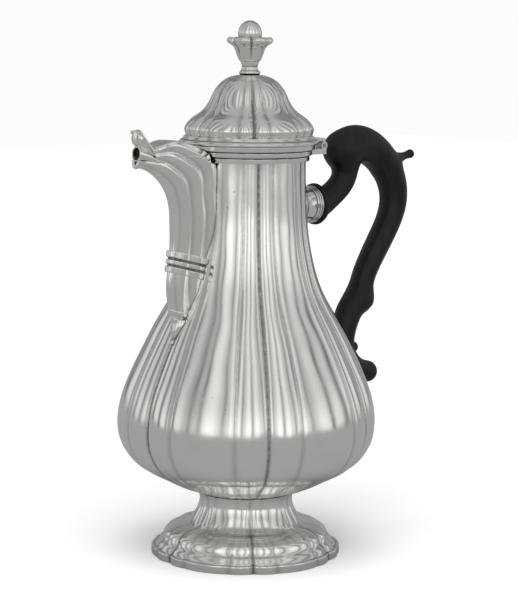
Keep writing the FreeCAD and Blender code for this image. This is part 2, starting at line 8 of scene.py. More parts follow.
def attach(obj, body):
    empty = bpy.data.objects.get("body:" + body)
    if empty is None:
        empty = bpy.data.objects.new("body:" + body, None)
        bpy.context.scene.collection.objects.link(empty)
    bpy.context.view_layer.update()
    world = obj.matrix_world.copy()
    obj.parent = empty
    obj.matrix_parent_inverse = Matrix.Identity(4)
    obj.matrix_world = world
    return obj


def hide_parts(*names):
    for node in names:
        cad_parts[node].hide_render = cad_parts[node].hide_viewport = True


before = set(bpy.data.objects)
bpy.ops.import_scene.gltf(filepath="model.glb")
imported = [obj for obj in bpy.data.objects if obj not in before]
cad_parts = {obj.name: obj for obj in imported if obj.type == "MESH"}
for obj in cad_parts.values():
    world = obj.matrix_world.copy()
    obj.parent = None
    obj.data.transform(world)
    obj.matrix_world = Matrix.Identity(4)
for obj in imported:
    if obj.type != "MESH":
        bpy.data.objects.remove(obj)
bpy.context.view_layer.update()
metre = 0.001  # every length below is in millimetres until it goes into a mesh
print("frame loaded:", len(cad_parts), "parts")


# Curves: how a value or a point runs through its stations

def curveAt(knots, values, at):
    # Natural cubic through the values at their knots, read at other places
    knots, values = np.asarray(knots, float), np.asarray(values, float)
    flat = values.reshape(len(knots), -1)
    chord = np.diff(knots)
    system, right = np.eye(len(knots)), np.zeros_like(flat)
    inner = np.arange(1, len(knots) - 1)
    system[inner, inner - 1] = chord[:-1]
    system[inner, inner] = 2 * (chord[:-1] + chord[1:])
    system[inner, inner + 1] = chord[1:]
    right[inner] = 6 * np.diff(np.diff(flat, axis=0) / chord[:, None], axis=0)
    bend = np.linalg.solve(system, right)
    at = np.asarray(at, float)
    span = np.clip(np.searchsorted(knots, at, side="right") - 1, 0, len(knots) - 2)
    step = chord[span][:, None]
    a = (knots[span + 1] - at)[:, None] / step
    b = (at - knots[span])[:, None] / step
    out = a * flat[span] + b * flat[span + 1]
    out += ((a ** 3 - a) * bend[span] + (b ** 3 - b) * bend[span + 1]) * step ** 2 / 6
    return out.reshape((len(at),) + values.shape[1:])


def alongCurve(stations, count, first=2):
    # Even steps along the cubic through the stations, measured over their first columns
    stations = np.asarray(stations, float)
    gaps = np.linalg.norm(np.diff(stations[:, :first], axis=0), axis=1)
    knots = np.concatenate([[0], np.cumsum(gaps)])
    return curveAt(knots, stations, np.linspace(0, knots[-1], count))


def roundedOutline(corners, arcSteps=5):
    # Straight runs between corners (across, up, fillet), each corner an arc tangent to both
    # runs, with a support point close to each end of the arc
    corners = np.asarray(corners, float)
    out = [corners[0, :2]]
    for before, here, after in zip(corners, corners[1:], corners[2:]):
        towards = (before[:2] - here[:2]) / np.linalg.norm(before[:2] - here[:2])
        onwards = (after[:2] - here[:2]) / np.linalg.norm(after[:2] - here[:2])
        half = 0.5 * math.acos(np.clip(towards @ onwards, -1, 1))
        if here[2] <= 0 or half > 1.55:
            out.append(here[:2])
            continue
        back = here[2] / math.tan(half)
        bisector = (towards + onwards) / np.linalg.norm(towards + onwards)
        middle = here[:2] + bisector * here[2] / math.sin(half)
        start, end = here[:2] + towards * back, here[:2] + onwards * back
        first = math.atan2(*(start - middle)[::-1])
        turn = (math.atan2(*(end - middle)[::-1]) - first + math.pi) % (2 * math.pi) - math.pi
        angles = first + turn * np.linspace(0, 1, arcSteps + 1)
        out.append(start + towards * 0.2 * here[2])
        out.extend(middle + here[2] * np.stack([np.cos(angles), np.sin(angles)], 1))
        out.append(end + onwards * 0.2 * here[2])
    out.append(corners[-1, :2])
    return np.array(out)


def closedOutline(corners, longest):
    # A ring outline with filleted corners and no step over the longest, anticlockwise
    corners = [tuple(c) for c in corners]
    start = ((corners[-1][0] + corners[0][0]) / 2, (corners[-1][1] + corners[0][1]) / 2, 0)
    outline = roundedOutline([start] + corners + [start])
    gaps = np.linalg.norm(np.diff(outline, axis=0), axis=1)
    runs = [np.linspace(a, b, max(1, int(np.ceil(g / longest))), endpoint=False)
            for a, b, g in zip(outline, outline[1:], gaps) if g > 1e-6]
    outline = np.concatenate(runs)
    return outline if signedArea(outline) > 0 else outline[::-1]


def signedArea(outline):
    # Half the sum of the cross products of neighbouring points
    x, y = outline[:, 0], outline[:, 1]
    return 0.5 * np.sum(x * np.roll(y, -1) - y * np.roll(x, -1))


def hollows(outline, reach=5):
    # 1 in an outline's inward corners and 0 elsewhere, spread over a few points each way
    ahead = np.roll(outline, -1, 0) - outline
    behind = np.roll(ahead, 1, 0)
    turn = np.arctan2(behind[:, 0] * ahead[:, 1] - behind[:, 1] * ahead[:, 0],
                      (behind * ahead).sum(1))
    inward = np.clip(-turn, 0, None)
    for _ in range(reach):
        inward = 0.5 * inward + 0.25 * (np.roll(inward, 1) + np.roll(inward, -1))
    return np.clip(inward * 8, 0, 1)


def ease(value, low, high):
    # Smooth step: 0 below the low value, 1 above the high one
    t = np.clip((value - low) / (high - low), 0, 1)
    return t * t * (3 - 2 * t)


def hill(value, width):
    # 1 where the value is nothing, falling to 0 over about twice the width
    return np.exp(-(value / width) ** 2)


def allRound(count):
    # Even angles all the way round, as a row
    return np.linspace(0, 2 * np.pi, count, endpoint=False)[None, :]


def polar(radius, theta, height):
    # Points round the pot's axis
    return np.stack([radius * np.cos(theta), radius * np.sin(theta),
                     np.broadcast_to(height, radius.shape)], -1)


# Meshes from grids

def gridFaces(rows, columns, closedRows=False, fans=False):
    # Quads over a grid whose columns close on themselves. The rows close too, or end open, or
    # both end in a fan on an extra point, the two of which follow the grid's own points.
    index = np.arange(rows * columns).reshape(rows, columns)
    near = index if closedRows else index[:-1]
    far = np.roll(index, -1, 0) if closedRows else index[1:]
    faces = np.stack([near, np.roll(near, -1, 1), np.roll(far, -1, 1), far], -1)
    faces = faces.reshape(-1, 4).tolist()
    if fans:
        first, last, tip = index[0], index[-1], np.full(columns, rows * columns)
        faces += np.stack([np.roll(first, -1), first, tip], 1).tolist()
        faces += np.stack([last, np.roll(last, -1), tip + 1], 1).tolist()
    return faces


def turnedOver(part):
    # The same surface with its faces pointing the other way
    points, faces, marks = part
    return points, [face[::-1] for face in faces], marks


def outward(part):
    # Turned over where the volume that it encloses comes out negative, so faces look outwards
    points = np.asarray(part[0], float).reshape(-1, 3)
    points = points - points.mean(0)
    corners = np.array([(face[0], face[i], face[i + 1])
                        for face in part[1] for i in range(1, len(face) - 1)])
    a, b, c = (points[corners[:, k]] for k in range(3))
    return part if (a * np.cross(b, c)).sum() > 0 else turnedOver(part)


def joined(parts):
    # Several (points, faces, crease) put one after the other, to make one mesh
    points, faces, crease, base = [], [], [], 0
    for p, f, c in map(outward, parts):
        faces += [[i + base for i in face] for face in f]
        points.append(np.asarray(p, float).reshape(-1, 3))
        crease.append(np.broadcast_to(np.asarray(c, float).ravel(), (len(points[-1]),)))
        base += len(points[-1])
    return np.concatenate(points), faces, np.concatenate(crease)


def addPiece(name, part, body, finish, replaced):
    # A mesh with its crease attribute, its finish and its place among the moving bodies
    points, faces, crease = outward(part)
    mesh = bpy.data.meshes.new(name)
    mesh.from_pydata((np.asarray(points).reshape(-1, 3) * metre).tolist(), [], faces)
    mesh.update()
    layer = mesh.attributes.new("crease", "FLOAT", "POINT")
    layer.data.foreach_set("value", np.asarray(crease, np.float32).ravel())
    mesh.shade_smooth()
    mesh.materials.append(finish[0])
    piece = bpy.data.objects.new(name, mesh)
    bpy.context.collection.objects.link(piece)
    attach(piece, body)
    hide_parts(*replaced)


def wrapped(grid, crease):
    # A surface from a grid that closes on itself both ways
    return grid, gridFaces(*grid.shape[:2], True), crease


def shell(grid, crease):
    # A closed surface from a grid, each open end gathered on the middle of its last row
    points = np.concatenate([grid.reshape(-1, 3), grid[0].mean(0, keepdims=True),
                             grid[-1].mean(0, keepdims=True)])
    marks = np.append(crease.reshape(-1), [crease[0].mean(), crease[-1].mean()])
    return points, gridFaces(*grid.shape[:2], False, True), marks


def spun(outline, around, alongX=False, centre=(0, 0, 0), waver=0.0):
    # A closed outline (radius, height) carried round the pot's axis, or round an X axis
    # where the height becomes the reach. The waver is a slight unevenness by hand.
    angles = allRound(around)
    radius = outline[:, :1] + waver * (np.sin(3 * angles + 1) + 0.7 * np.sin(7 * angles + 2))
    grid = polar(radius, angles, outline[:, 1:])
    if alongX:
        grid = grid[..., [2, 0, 1]]
    # The crease mark in the outline's inward corners, which the finishes paint dark: painted
    # shade, and on silver tarnish too
    marks = np.broadcast_to(hollows(outline)[:, None], radius.shape)
    return wrapped(grid + np.asarray(centre, float), marks)


# Finishes

def nodeTree(tree):
    # Short ways to add a node with its settings and to join two sockets
    def add(kind, inputs=None, **settings):
        node = tree.nodes.new(kind)
        for word, value in settings.items():
            setattr(node, word, value)
        for word, value in (inputs or {}).items():
            if isinstance(value, bpy.types.NodeSocket):
                tree.links.new(value, node.inputs[word])
            else:
                node.inputs[word].default_value = value
        return node
    return add


def effect(name, inputs, outputs):
    # An empty shader node group with named inputs (name, kind, value) and outputs
    group = bpy.data.node_groups.new(name, "ShaderNodeTree")
    for word, kind, value in inputs:
        socket = group.interface.new_socket(name=word, in_out="INPUT", socket_type=kind)
        if value is not None:
            socket.default_value = value
    for word, kind in outputs:
        group.interface.new_socket(name=word, in_out="OUTPUT", socket_type=kind)
    add = nodeTree(group)
    return group, add, add("NodeGroupInput"), add("NodeGroupOutput")


def ramp(add, value, stops):
    # A ramp from (place, grey) stops
    node = add("ShaderNodeValToRGB", {"Fac": value})
    band = node.color_ramp
    while len(band.elements) < len(stops):
        band.elements.new(0.5)
    for element, (place, shade) in zip(band.elements, stops):
        element.position = place
        element.color = (shade, shade, shade, 1)
    return node.outputs["Color"]


def mixed(add, share, one, other):
    node = add("ShaderNodeMix", data_type="RGBA")
    tree = node.id_data
    for socket, value in ((node.inputs[0], share), (node.inputs[6], one), (node.inputs[7], other)):
        if isinstance(value, bpy.types.NodeSocket):
            tree.links.new(value, socket)
        else:
            socket.default_value = value
    return node.outputs[2]


def maths(add, operation, one, other=None, clamp=False):
    node = add("ShaderNodeMath", operation=operation, use_clamp=clamp)
    for socket, value in zip(node.inputs, (one, other)):
        if isinstance(value, bpy.types.NodeSocket):
            node.id_data.links.new(value, socket)
        elif value is not None:
            socket.default_value = value
    return node.outputs[0]


def noise(add, where, scale, detail, **more):
    # Noise from 0 to 1 over the coordinates
    return add("ShaderNodeTexNoise", {"Vector": where, "Scale": scale, "Detail": detail, **more}) \
        .outputs["Fac"]


def stretched(add, where, scale, turn=(0, 0, 0)):
    # Coordinates scaled and turned, so that a pattern on them runs long one way
    return add("ShaderNodeMapping", {"Vector": where, "Scale": scale, "Rotation": turn}).outputs[0]


def plus(add, one, other):
    return maths(add, "ADD", one, other)


def less(add, one, other):
    return maths(add, "SUBTRACT", one, other)


def times(add, one, other):
    return maths(add, "MULTIPLY", one, other)


def makeHandPolish():
    # Old hand-polished silver: fine wandering scratches, soft dents, small pits, worn cloudy
    # patches. Gives a wear mask for the roughness and a height for the bump.
    group, add, given, result = effect(
        "handPolish",
        [("Coordinates", "NodeSocketVector", None), ("Dents", "NodeSocketFloat", 1.0),
         ("Pits", "NodeSocketFloat", 1.0)],
        [("Wear", "NodeSocketFloat"), ("Height", "NodeSocketFloat"), ("Pit", "NodeSocketFloat")])
    where = given.outputs["Coordinates"]
    cloud = noise(add, where, 45.0, 4.0)
    fine = noise(add, where, 900.0, 3.0)
    scratch = noise(add, stretched(add, where, (900, 900, 120), (0.5, 0.3, 0)), 1.0, 2.0)
    cross = noise(add, stretched(add, where, (150, 1000, 1000), (0.2, 0.9, 0.4)), 1.0, 2.0)
    lines = times(add, ramp(add, scratch, [(0.52, 0.0), (0.68, 1.0)]),
                  ramp(add, cross, [(0.4, 0.2), (0.7, 1.0)]))
    dents = noise(add, where, 75.0, 1.5)
    pitField = add("ShaderNodeTexVoronoi", {"Vector": where, "Scale": 190.0})
    sparse = noise(add, where, 60.0, 2.0)
    pit = times(add, ramp(add, pitField.outputs["Distance"], [(0.05, 1.0), (0.13, 0.0)]),
                ramp(add, sparse, [(0.56, 0.0), (0.66, 1.0)]))
    pit = times(add, pit, given.outputs["Pits"])
    patches = ramp(add, cloud, [(0.35, 0.0), (0.7, 1.0)])
    wear = plus(add, times(add, patches, 0.6), times(add, lines, 0.35))
    soft = times(add, dents, given.outputs["Dents"])
    height = less(add, soft, times(add, lines, 0.012))
    height = plus(add, height, times(add, fine, 0.012))
    height = less(add, height, times(add, pit, 0.35))
    link = group.links.new
    link(wear, result.inputs["Wear"])
    link(height, result.inputs["Height"])
    link(pit, result.inputs["Pit"])
    return group


def makeTarnishAndShade():
    # Dark grey-brown film in the creases, where polishing cloths don't reach: partly tarnish,
    # partly painted shade; and faint clouds of tarnish
    group, add, given, result = effect(
        "tarnishAndShade",
        [("Coordinates", "NodeSocketVector", None), ("Amount", "NodeSocketFloat", 1.0)],
        [("FilmAndShade", "NodeSocketFloat")])
    crease = add("ShaderNodeAttribute", attribute_name="crease", attribute_type="GEOMETRY")
    where = given.outputs["Coordinates"]
    breakUp = noise(add, where, 420.0, 5.0, Roughness=0.65)
    cloud = noise(add, where, 70.0, 3.0)
    ragged = times(add, crease.outputs["Fac"],
                   ramp(add, breakUp, [(0.3, 0.55), (0.62, 1.0)]))
    faint = times(add, ramp(add, cloud, [(0.5, 0.0), (0.8, 1.0)]), 0.06)
    filmAndShade = maths(add, "MULTIPLY", plus(add, ragged, faint), given.outputs["Amount"],
                 True)
    group.links.new(filmAndShade, result.inputs["FilmAndShade"])
    return group


handPolish = makeHandPolish()
tarnishAndShade = makeTarnishAndShade()


def blankFinish(name):
    # A material with its node adder, its shader and the object's own coordinates
    material = bpy.data.materials.new(name)
    material.use_nodes = True
    add = nodeTree(material.node_tree)
    where = add("ShaderNodeTexCoord").outputs["Object"]
    return material, material.node_tree, add, material.node_tree.nodes["Principled BSDF"], where


def silverFinish(name, look):
    # Silver: the film of tarnish and painted shade darkens and dulls it, the wear mask spreads its
    # reflections
    material, tree, add, shader, where = blankFinish(name)
    polish = add("ShaderNodeGroup", node_tree=handPolish)
    filmAndShade = add("ShaderNodeGroup", node_tree=tarnishAndShade)
    for node in (polish, filmAndShade):
        tree.links.new(where, node.inputs["Coordinates"])
    polish.inputs["Dents"].default_value = look["dents"]
    polish.inputs["Pits"].default_value = look["pits"]
    filmAndShade.inputs["Amount"].default_value = look["tarnishAndShade"]
    # Darkest where the crease film of tarnish and painted shade lies, or in a pit
    dark = maths(add, "MAXIMUM", filmAndShade.outputs["FilmAndShade"],
                 times(add, polish.outputs["Pit"], 0.8))
    colour = mixed(add, dark, (*look["colour"], 1), (*look["filmAndShade"], 1))
    tree.links.new(colour, shader.inputs["Base Color"])
    rough = plus(add, times(add, polish.outputs["Wear"], look["wearRough"]),
                  look["rough"])
    rough = plus(add, rough, times(add, dark, 0.25))
    tree.links.new(rough, shader.inputs["Roughness"])
    bump = add("ShaderNodeBump", {"Height": polish.outputs["Height"], "Strength": look["relief"],
                                  "Distance": 0.0002})
    tree.links.new(bump.outputs["Normal"], shader.inputs["Normal"])
    shader.inputs["Metallic"].default_value = 1.0
    return material


# The film colour is the dark of tarnish and painted shade in creases and corners; the tarnish
# value is how much of it
raisedLook = {"colour": (0.90, 0.912, 0.875), "filmAndShade": (0.10, 0.105, 0.09), "rough": 0.10,
              "wearRough": 0.14, "dents": 1.0, "pits": 0.7, "tarnishAndShade": 0.9, "relief": 0.22}
castLook = {"colour": (0.87, 0.88, 0.845), "filmAndShade": (0.07, 0.072, 0.062), "rough": 0.13,
            "wearRough": 0.16, "dents": 0.8, "pits": 1.0, "tarnishAndShade": 1.0, "relief": 0.25}
steelLook = {"colour": (0.42, 0.42, 0.40), "filmAndShade": (0.04, 0.04, 0.035), "rough": 0.3,
             "wearRough": 0.2, "dents": 0.6, "pits": 1.0, "tarnishAndShade": 1.0, "relief": 0.2}
raisedSilver = (silverFinish("raisedSilver", raisedLook), "silver")
castSilver = (silverFinish("castSilver", castLook), "silver_moulding")
darkPin = (silverFinish("darkPin", steelLook), "silver_moulding")


woodLook = {"colour": (0.0045, 0.0045, 0.0048), "pale": (0.0105, 0.0105, 0.0103), "rough": 0.36,
            "grain": (260, 260, 30), "pores": (1500, 1500, 240), "relief": 0.16, "coat": 0.06}


def woodFinish(look):
    # Black-stained fruitwood under wax: long grain, fine pores, rubbed bright in places
    material, tree, add, shader, where = blankFinish("blackWood")
    grain = noise(add, stretched(add, where, look["grain"]), 1.0, 5.0, Distortion=0.6)
    pores = stretched(add, where, look["pores"])
    pore = add("ShaderNodeTexVoronoi", {"Vector": pores, "Scale": 1.0})
    poreMask = ramp(add, pore.outputs["Distance"], [(0.08, 1.0), (0.26, 0.0)])
    rubbed = noise(add, where, 38.0, 3.0)
    crease = add("ShaderNodeAttribute", attribute_name="crease", attribute_type="GEOMETRY")
    streak = ramp(add, grain, [(0.38, 0.0), (0.66, 1.0)])
    colour = mixed(add, streak, (*look["colour"], 1), (*look["pale"], 1))
    # Darker where the crease mark lies, in the inward corners of the turned ends: painted shade
    colour = mixed(add, crease.outputs["Fac"], colour, (0.004, 0.004, 0.004, 1))
    tree.links.new(colour, shader.inputs["Base Color"])
    patches = ramp(add, rubbed, [(0.35, 0.0), (0.7, 1.0)])
    rough = plus(add, times(add, patches, 0.16), look["rough"])
    rough = plus(add, rough, times(add, poreMask, 0.2))
    tree.links.new(rough, shader.inputs["Roughness"])
    height = less(add, times(add, grain, 0.5),
                   times(add, poreMask, 0.5))
    bump = add("ShaderNodeBump", {"Height": height, "Strength": look["relief"],
                                  "Distance": 0.0002})
    tree.links.new(bump.outputs["Normal"], shader.inputs["Normal"])
    shader.inputs["Specular IOR Level"].default_value = 0.3
    shader.inputs["Coat Weight"].default_value = look["coat"]
    shader.inputs["Coat Roughness"].default_value = 0.22
    return material


blackWood = (woodFinish(woodLook), "handle_wood")
print("finishes made")


# Lobed walls: six deep creases with a narrow lobe each side of each one

# The soft grooves' share of the crease darkening is tarnish and painted shade
lobes = {"count": 6, "narrow": 15.0, "groove": 0.30, "grooveWidth": 1.15, "softGroove": 0.55,
         "softWidth": 1.5, "softGrooveFilmAndShade": 0.34}


def lobeAngles(columns):
    # Angles around, crowded beside the six creases and a little at the soft grooves
    sector = 360 / lobes["count"]
    fine = np.linspace(-sector / 2, sector / 2, 1201)
    crowd = 1 + 4.5 * hill(fine, 1.6) + 0.8 * hill(abs(fine) - lobes["narrow"], 2.5)
    total = np.concatenate([[0], np.cumsum(0.5 * (crowd[1:] + crowd[:-1]))])
    share = np.linspace(0, total[-1], columns // lobes["count"], endpoint=False)
    one = np.interp(share, total, fine)
    return np.concatenate([one + sector * k for k in range(lobes["count"])])


def lobeInset(degrees, radius, crease, groove=1.0):
    # How far the wall stands in from its lobes' crests, from the angle to the nearest crease:
    # the softened lower of two bowls, the narrow lobe's (crest half way along it) and the
    # broad lobe's (crest half way between creases), and a fine groove at the crease itself
    sector = 360 / lobes["count"]
    away = (degrees + sector / 2) % sector - sector / 2
    blunt = 0.5
    phi = np.sqrt(away ** 2 + blunt ** 2) - 0.75 * blunt
    narrow = 1 - 0.17333 * phi + 0.0088889 * phi ** 2
    broad = 0.4 * ((sector / 2 - np.abs(away)) / 15) ** 2
    far = phi > 15
    narrow = np.where(far, 0.4 + 0.12 * (phi - 15), narrow)
    soft = 0.06
    blend = np.clip(1 - np.abs(narrow - broad) / soft, 0, 1)
    level = np.minimum(narrow, broad) - blend ** 2 * soft / 4
    across = np.abs(np.radians(away)) * radius
    beside = np.abs(np.radians(np.abs(away) - lobes["narrow"])) * radius
    slot = hill(across, lobes["grooveWidth"])
    slot = slot + lobes["softGroove"] * hill(beside, lobes["softWidth"])
    return crease * level + groove * lobes["groove"] * np.clip(crease, 0, 1.6) * slot


def creaseMark(degrees, radius, crease):
    # Darkening along the creases, tarnish and painted shade: strong in the main ones, a trace in
    # the soft grooves
    sector = 360 / lobes["count"]
    away = np.abs((degrees + sector / 2) % sector - sector / 2)
    across = np.radians(away) * radius
    beside = np.radians(np.abs(away - lobes["narrow"])) * radius
    strength = np.clip(crease / 1.2, 0, 1)
    filmAndShade = lobes["softGrooveFilmAndShade"] * hill(beside, 1.3)
    return strength * (hill(across, 1.0) + filmAndShade)


def lobedWall(stations, thick, rows, innerRows, columns, turn=0.0, base=None, top=None,
              groove=1.0, waver=0.03):
    # A lobed wall with thickness: the outer face up through the stations (height, radius,
    # crease), over the lip, and the inner face down again, for the caller to close at the axis or
    # as a ring
    outer = alongCurve(stations, rows)
    inner = alongCurve(stations, innerRows)[::-1]
    tangent = np.gradient(inner[:, :2], axis=0)
    tangent /= np.linalg.norm(tangent, axis=1, keepdims=True)
    inner[:, 0] -= thick * tangent[:, 1]
    inner[:, 1] += thick * tangent[:, 0]
    if base is not None:
        inner[:, 0] = np.maximum(inner[:, 0], base)
    if top is not None:
        inner[:, 0] = np.minimum(inner[:, 0], top)
    profile = np.concatenate([outer, inner])
    degrees = lobeAngles(columns)
    height, radius, crease = (profile[:, k:k + 1] for k in range(3))
    theta = np.radians(degrees)[None, :]
    wave = np.sin(5 * theta + height / 9) + np.sin(9 * theta - height / 6) \
        + 0.8 * np.sin(14 * theta + height / 4.5) + 0.7 * np.sin(2 * theta - height / 14)
    reach = radius - lobeInset(degrees[None, :], radius, crease, groove) + waver * wave
    theta = theta + math.radians(turn)
    grid = polar(reach, theta, height)
    marks = creaseMark(degrees[None, :], radius, crease)
    marks[rows:] *= 0.4
    return grid, marks


bellyStations = (
    # height, radius at the crests, depth of the creases
    (35.6, 26.4, 0.5), (37.4, 34.0, 0.9), (40.6, 41.6, 1.4), (45.0, 50.0, 1.9), (50.6, 59.8, 2.3),
    (58.0, 66.2, 2.6), (66.0, 69.8, 2.7), (75.0, 70.7, 2.7), (86.0, 69.0, 2.6),
    (100.0, 64.0, 2.5), (115.0, 56.8, 2.4), (130.0, 48.9, 2.2), (143.0, 41.6, 1.9),
    (156.0, 36.8, 1.6), (170.0, 33.8, 1.5), (186.0, 31.9, 1.4), (203.0, 31.1, 1.3),
    (214.0, 30.8, 1.2), (224.4, 30.8, 0.3))
bellySize = {"thick": 0.9, "rows": 170, "innerRows": 60, "columns": 384}


def bellyRadius(points, sink=0.45):
    # The radius of the middle of the belly's wall in each point's direction and height
    heights, radii, creases = np.array(bellyStations).T
    at = np.clip(points[..., 2], heights[0], heights[-1]).ravel()
    both = curveAt(heights, np.stack([radii, creases], 1), at).reshape(points.shape[:-1] + (2,))
    degrees = np.degrees(np.arctan2(points[..., 1], points[..., 0]))
    return both[..., 0] - lobeInset(degrees, both[..., 0], both[..., 1]) - sink


def againstBelly(points, sink=0.45):
    # Points inside the belly's wall are moved out to its middle, straight from the axis
    reach = np.hypot(points[..., 0], points[..., 1])
    limit = bellyRadius(points, sink)
    scale = np.where(reach < limit, limit / np.maximum(reach, 0.01), 1)
    return points * np.stack([scale, scale, np.ones_like(scale)], -1)


def makeBelly():
    grid, marks = lobedWall(bellyStations, bellySize["thick"], bellySize["rows"],
                            bellySize["innerRows"], bellySize["columns"], base=36.5, top=224.4)
    addPiece("pot_body", shell(grid, marks), "pot", raisedSilver, ["body"])


makeBelly()
print("body made")


# Foot

footSkirt = ((4.6, 49.9, 1.5), (5.6, 48.9, 1.4), (7.2, 47.6, 1.3), (9.2, 45.6, 1.3),
             (12.0, 44.6, 1.2), (14.0, 42.6, 1.1), (15.5, 39.8, 1.0), (16.4, 36.6, 0.9),
             (16.8, 33.4, 0.8), (18.2, 31.0, 0.7), (21.0, 28.8, 0.7), (25.0, 26.6, 0.6),
             (29.0, 25.5, 0.5), (32.0, 25.6, 0.5), (34.4, 26.2, 0.4))
footSize = {"thick": 0.9, "turn": -5.0, "columns": 288, "rimRadius": 51.8, "rimInner": 46.0,
            "rimHeight": 4.6, "rimCrease": 2.0}
footRing = ((22, 34.4, 0.2), (27, 34.4, 0.55), (27, 35.6, 0.55), (22, 35.6, 0.2))


def makeFoot():
    turn, columns = footSize["turn"], footSize["columns"]
    grid, marks = lobedWall(footSkirt, footSize["thick"], 120, 50, columns, turn, base=4.6,
                            top=34.4, groove=0.9, waver=0.025)
    addPiece("foot_wall", wrapped(grid, marks), "pot", raisedSilver, ["foot"])
    high, wide, inner = footSize["rimHeight"], footSize["rimRadius"], footSize["rimInner"]
    corners = ((inner, 0, 0.3), (wide, 0, 0.5), (wide, high, 0.9), (inner, high, 0.3))
    outline = closedOutline(corners, 0.9)
    degrees = lobeAngles(columns)[None, :]
    share = ease(outline[:, :1], inner + 0.6, wide - 1.2)
    crease = footSize["rimCrease"] * share
    reach = outline[:, :1] - lobeInset(degrees, outline[:, :1], crease, 0.9)
    theta = np.radians(degrees + turn)
    rim = polar(reach, theta, outline[:, 1:])
    # A dark line where the skirt sits on the rim: tarnish and painted shade
    seat = hill(outline[:, :1] - 49.4, 0.8) * (outline[:, 1:] > high - 0.3)
    rimMarks = np.clip(creaseMark(degrees, outline[:, :1], crease) * share + seat, 0, 1)
    addPiece("foot_edge", wrapped(rim, rimMarks), "pot", castSilver, ["foot_rim"])
    ring = closedOutline(footRing, 0.5)
    addPiece("foot_seam", spun(ring, 192), "pot", castSilver, ["foot_joint_ring"])


makeFoot()
print("foot made")


# Collar round the neck, three reeds stepping outwards

def makeCollar():
    corners = ((30.85, 215.6, 0.1), (32.6, 215.6, 0.5), (32.75, 218.0, 0.5), (31.9, 218.4, 0.15),
               (33.9, 218.7, 0.5), (34.3, 221.0, 0.5), (33.3, 221.4, 0.15), (35.6, 221.8, 0.5),
               (35.8, 224.4, 0.4), (30.85, 224.4, 0.1))
    addPiece("neck_mount", spun(closedOutline(corners, 0.5), 288, waver=0.02), "pot",
             castSilver, ["neck_collar"])


makeCollar()
print("collar made")


# Spout. Its sections stand on a line that crosses outside its bend: level below it, then
# turned about it. Each section has a keel and a back, measured from that line.

spoutSize = {"bendReach": 79.0, "bendHeight": 188.0, "turnStep": 0.75, "thick": 0.9, "nose": 0.42,
             "flank": 0.9, "flutes": 3, "bulge": 0.15, "columns": 97, "tipTurn": 83.2,
             "partTurn": 25.6, "lipRoll": 1.25, "edgeBead": 0.62}
spoutLevels = ((131.0, 28.4, 52.0, 4.5), (138.0, 25.5, 52.0, 5.1), (145.0, 24.0, 52.0, 5.6),
               (152.0, 23.6, 52.0, 5.9), (160.0, 24.5, 52.0, 6.3), (167.0, 25.5, 52.0, 6.7),
               (175.0, 26.1, 52.0, 7.3))
spoutTurns = ((0, 26.0, 52.0, 8.2), (15, 26.0, 52.0, 8.4), (30, 26.0, 56.0, 8.6),
              (45, 26.0, 51.3, 8.3), (60, 26.2, 45.8, 7.4), (74, 26.4, 38.9, 5.7),
              (80, 26.4, 41.0, 4.9), (86, 26.4, 45.6, 4.2))
lowerEdge = ((25.6, 59.9), (40.0, 49.0), (52.0, 39.5), (65.0, 32.0), (72.0, 31.0), (80.0, 30.2),
             (84.0, 30.2))  # turn and distance along the top of the lower jaw
upperEdge = ((25.6, 59.9), (40.0, 49.0), (52.0, 39.5), (65.0, 32.0), (70.0, 34.4), (75.0, 37.6),
             (80.0, 40.6), (86.0, 44.6))  # and along the bottom of the upper jaw


def spoutStations():
    # Path parameter, keel, back and half width at every station
    rows = [(height - spoutSize["bendHeight"], keel, back, half)
            for height, keel, back, half in spoutLevels]
    rows += [(turn * spoutSize["turnStep"], keel, back, half)
             for turn, keel, back, half in spoutTurns]
    return np.array(rows)


def spoutAt(path):
    stations = spoutStations()
    return curveAt(stations[:, 0], stations[:, 1:], path).T[:, :, None]


def spoutPlace(path, away, across):
    # Where a distance from the bend line and a distance across fall, at a path parameter
    turn = np.radians(np.maximum(path, 0) / spoutSize["turnStep"])[:, None]
    level = np.minimum(path, 0)[:, None]
    x = -spoutSize["bendReach"] + away * np.cos(turn)
    z = spoutSize["bendHeight"] + away * np.sin(turn) + level
    return np.stack([x, np.broadcast_to(across, x.shape), z], -1)


def beak(keel, back, half, side):
    # The beak outline: side runs -1 at one back corner, 0 at the keel, 1 at the other back
    # corner. A half ellipse round the keel, then flutes that widen towards the back.
    noseShare = 0.22
    size = np.abs(side)
    angle = np.clip(size / noseShare, 0, 1) * np.pi / 2
    noseBase = back + (keel - back) * spoutSize["flank"]
    round_ = noseBase - (noseBase - keel) * np.cos(angle)
    share = np.clip(1 - (size - noseShare) / (1 - noseShare), 0, 1)
    flank = back + (noseBase - back) * share
    noseWide = spoutSize["nose"] * half
    ripple = np.abs(np.sin(np.pi * spoutSize["flutes"] * share))
    ripple = 0.45 * ripple + 0.55 * ripple ** 2
    wide = half + (noseWide - half) * share ** 1.5 + spoutSize["bulge"] * half * ripple
    onNose = size < noseShare
    away = np.where(onNose, round_, flank)
    across = np.where(onNose, noseWide * np.sin(angle), wide)
    groove = np.where(onNose, 0, (1 - ripple) ** 3 * np.clip(4 * share, 0, 1))
    return away, across * np.sign(side), groove


def clearOfPot(points):
    # Out of the belly's wall, and clear of the collar and the lid's flange above it
    points = againstBelly(points)
    reach = np.hypot(points[..., 0], points[..., 1])
    limit = np.where(points[..., 2] > 223.2, 38.7, np.where(points[..., 2] > 215.8, 35.2, 0))
    scale = np.where(reach < limit, limit / np.maximum(reach, 0.01), 1)
    return points * np.stack([scale, scale, np.ones_like(scale)], -1)


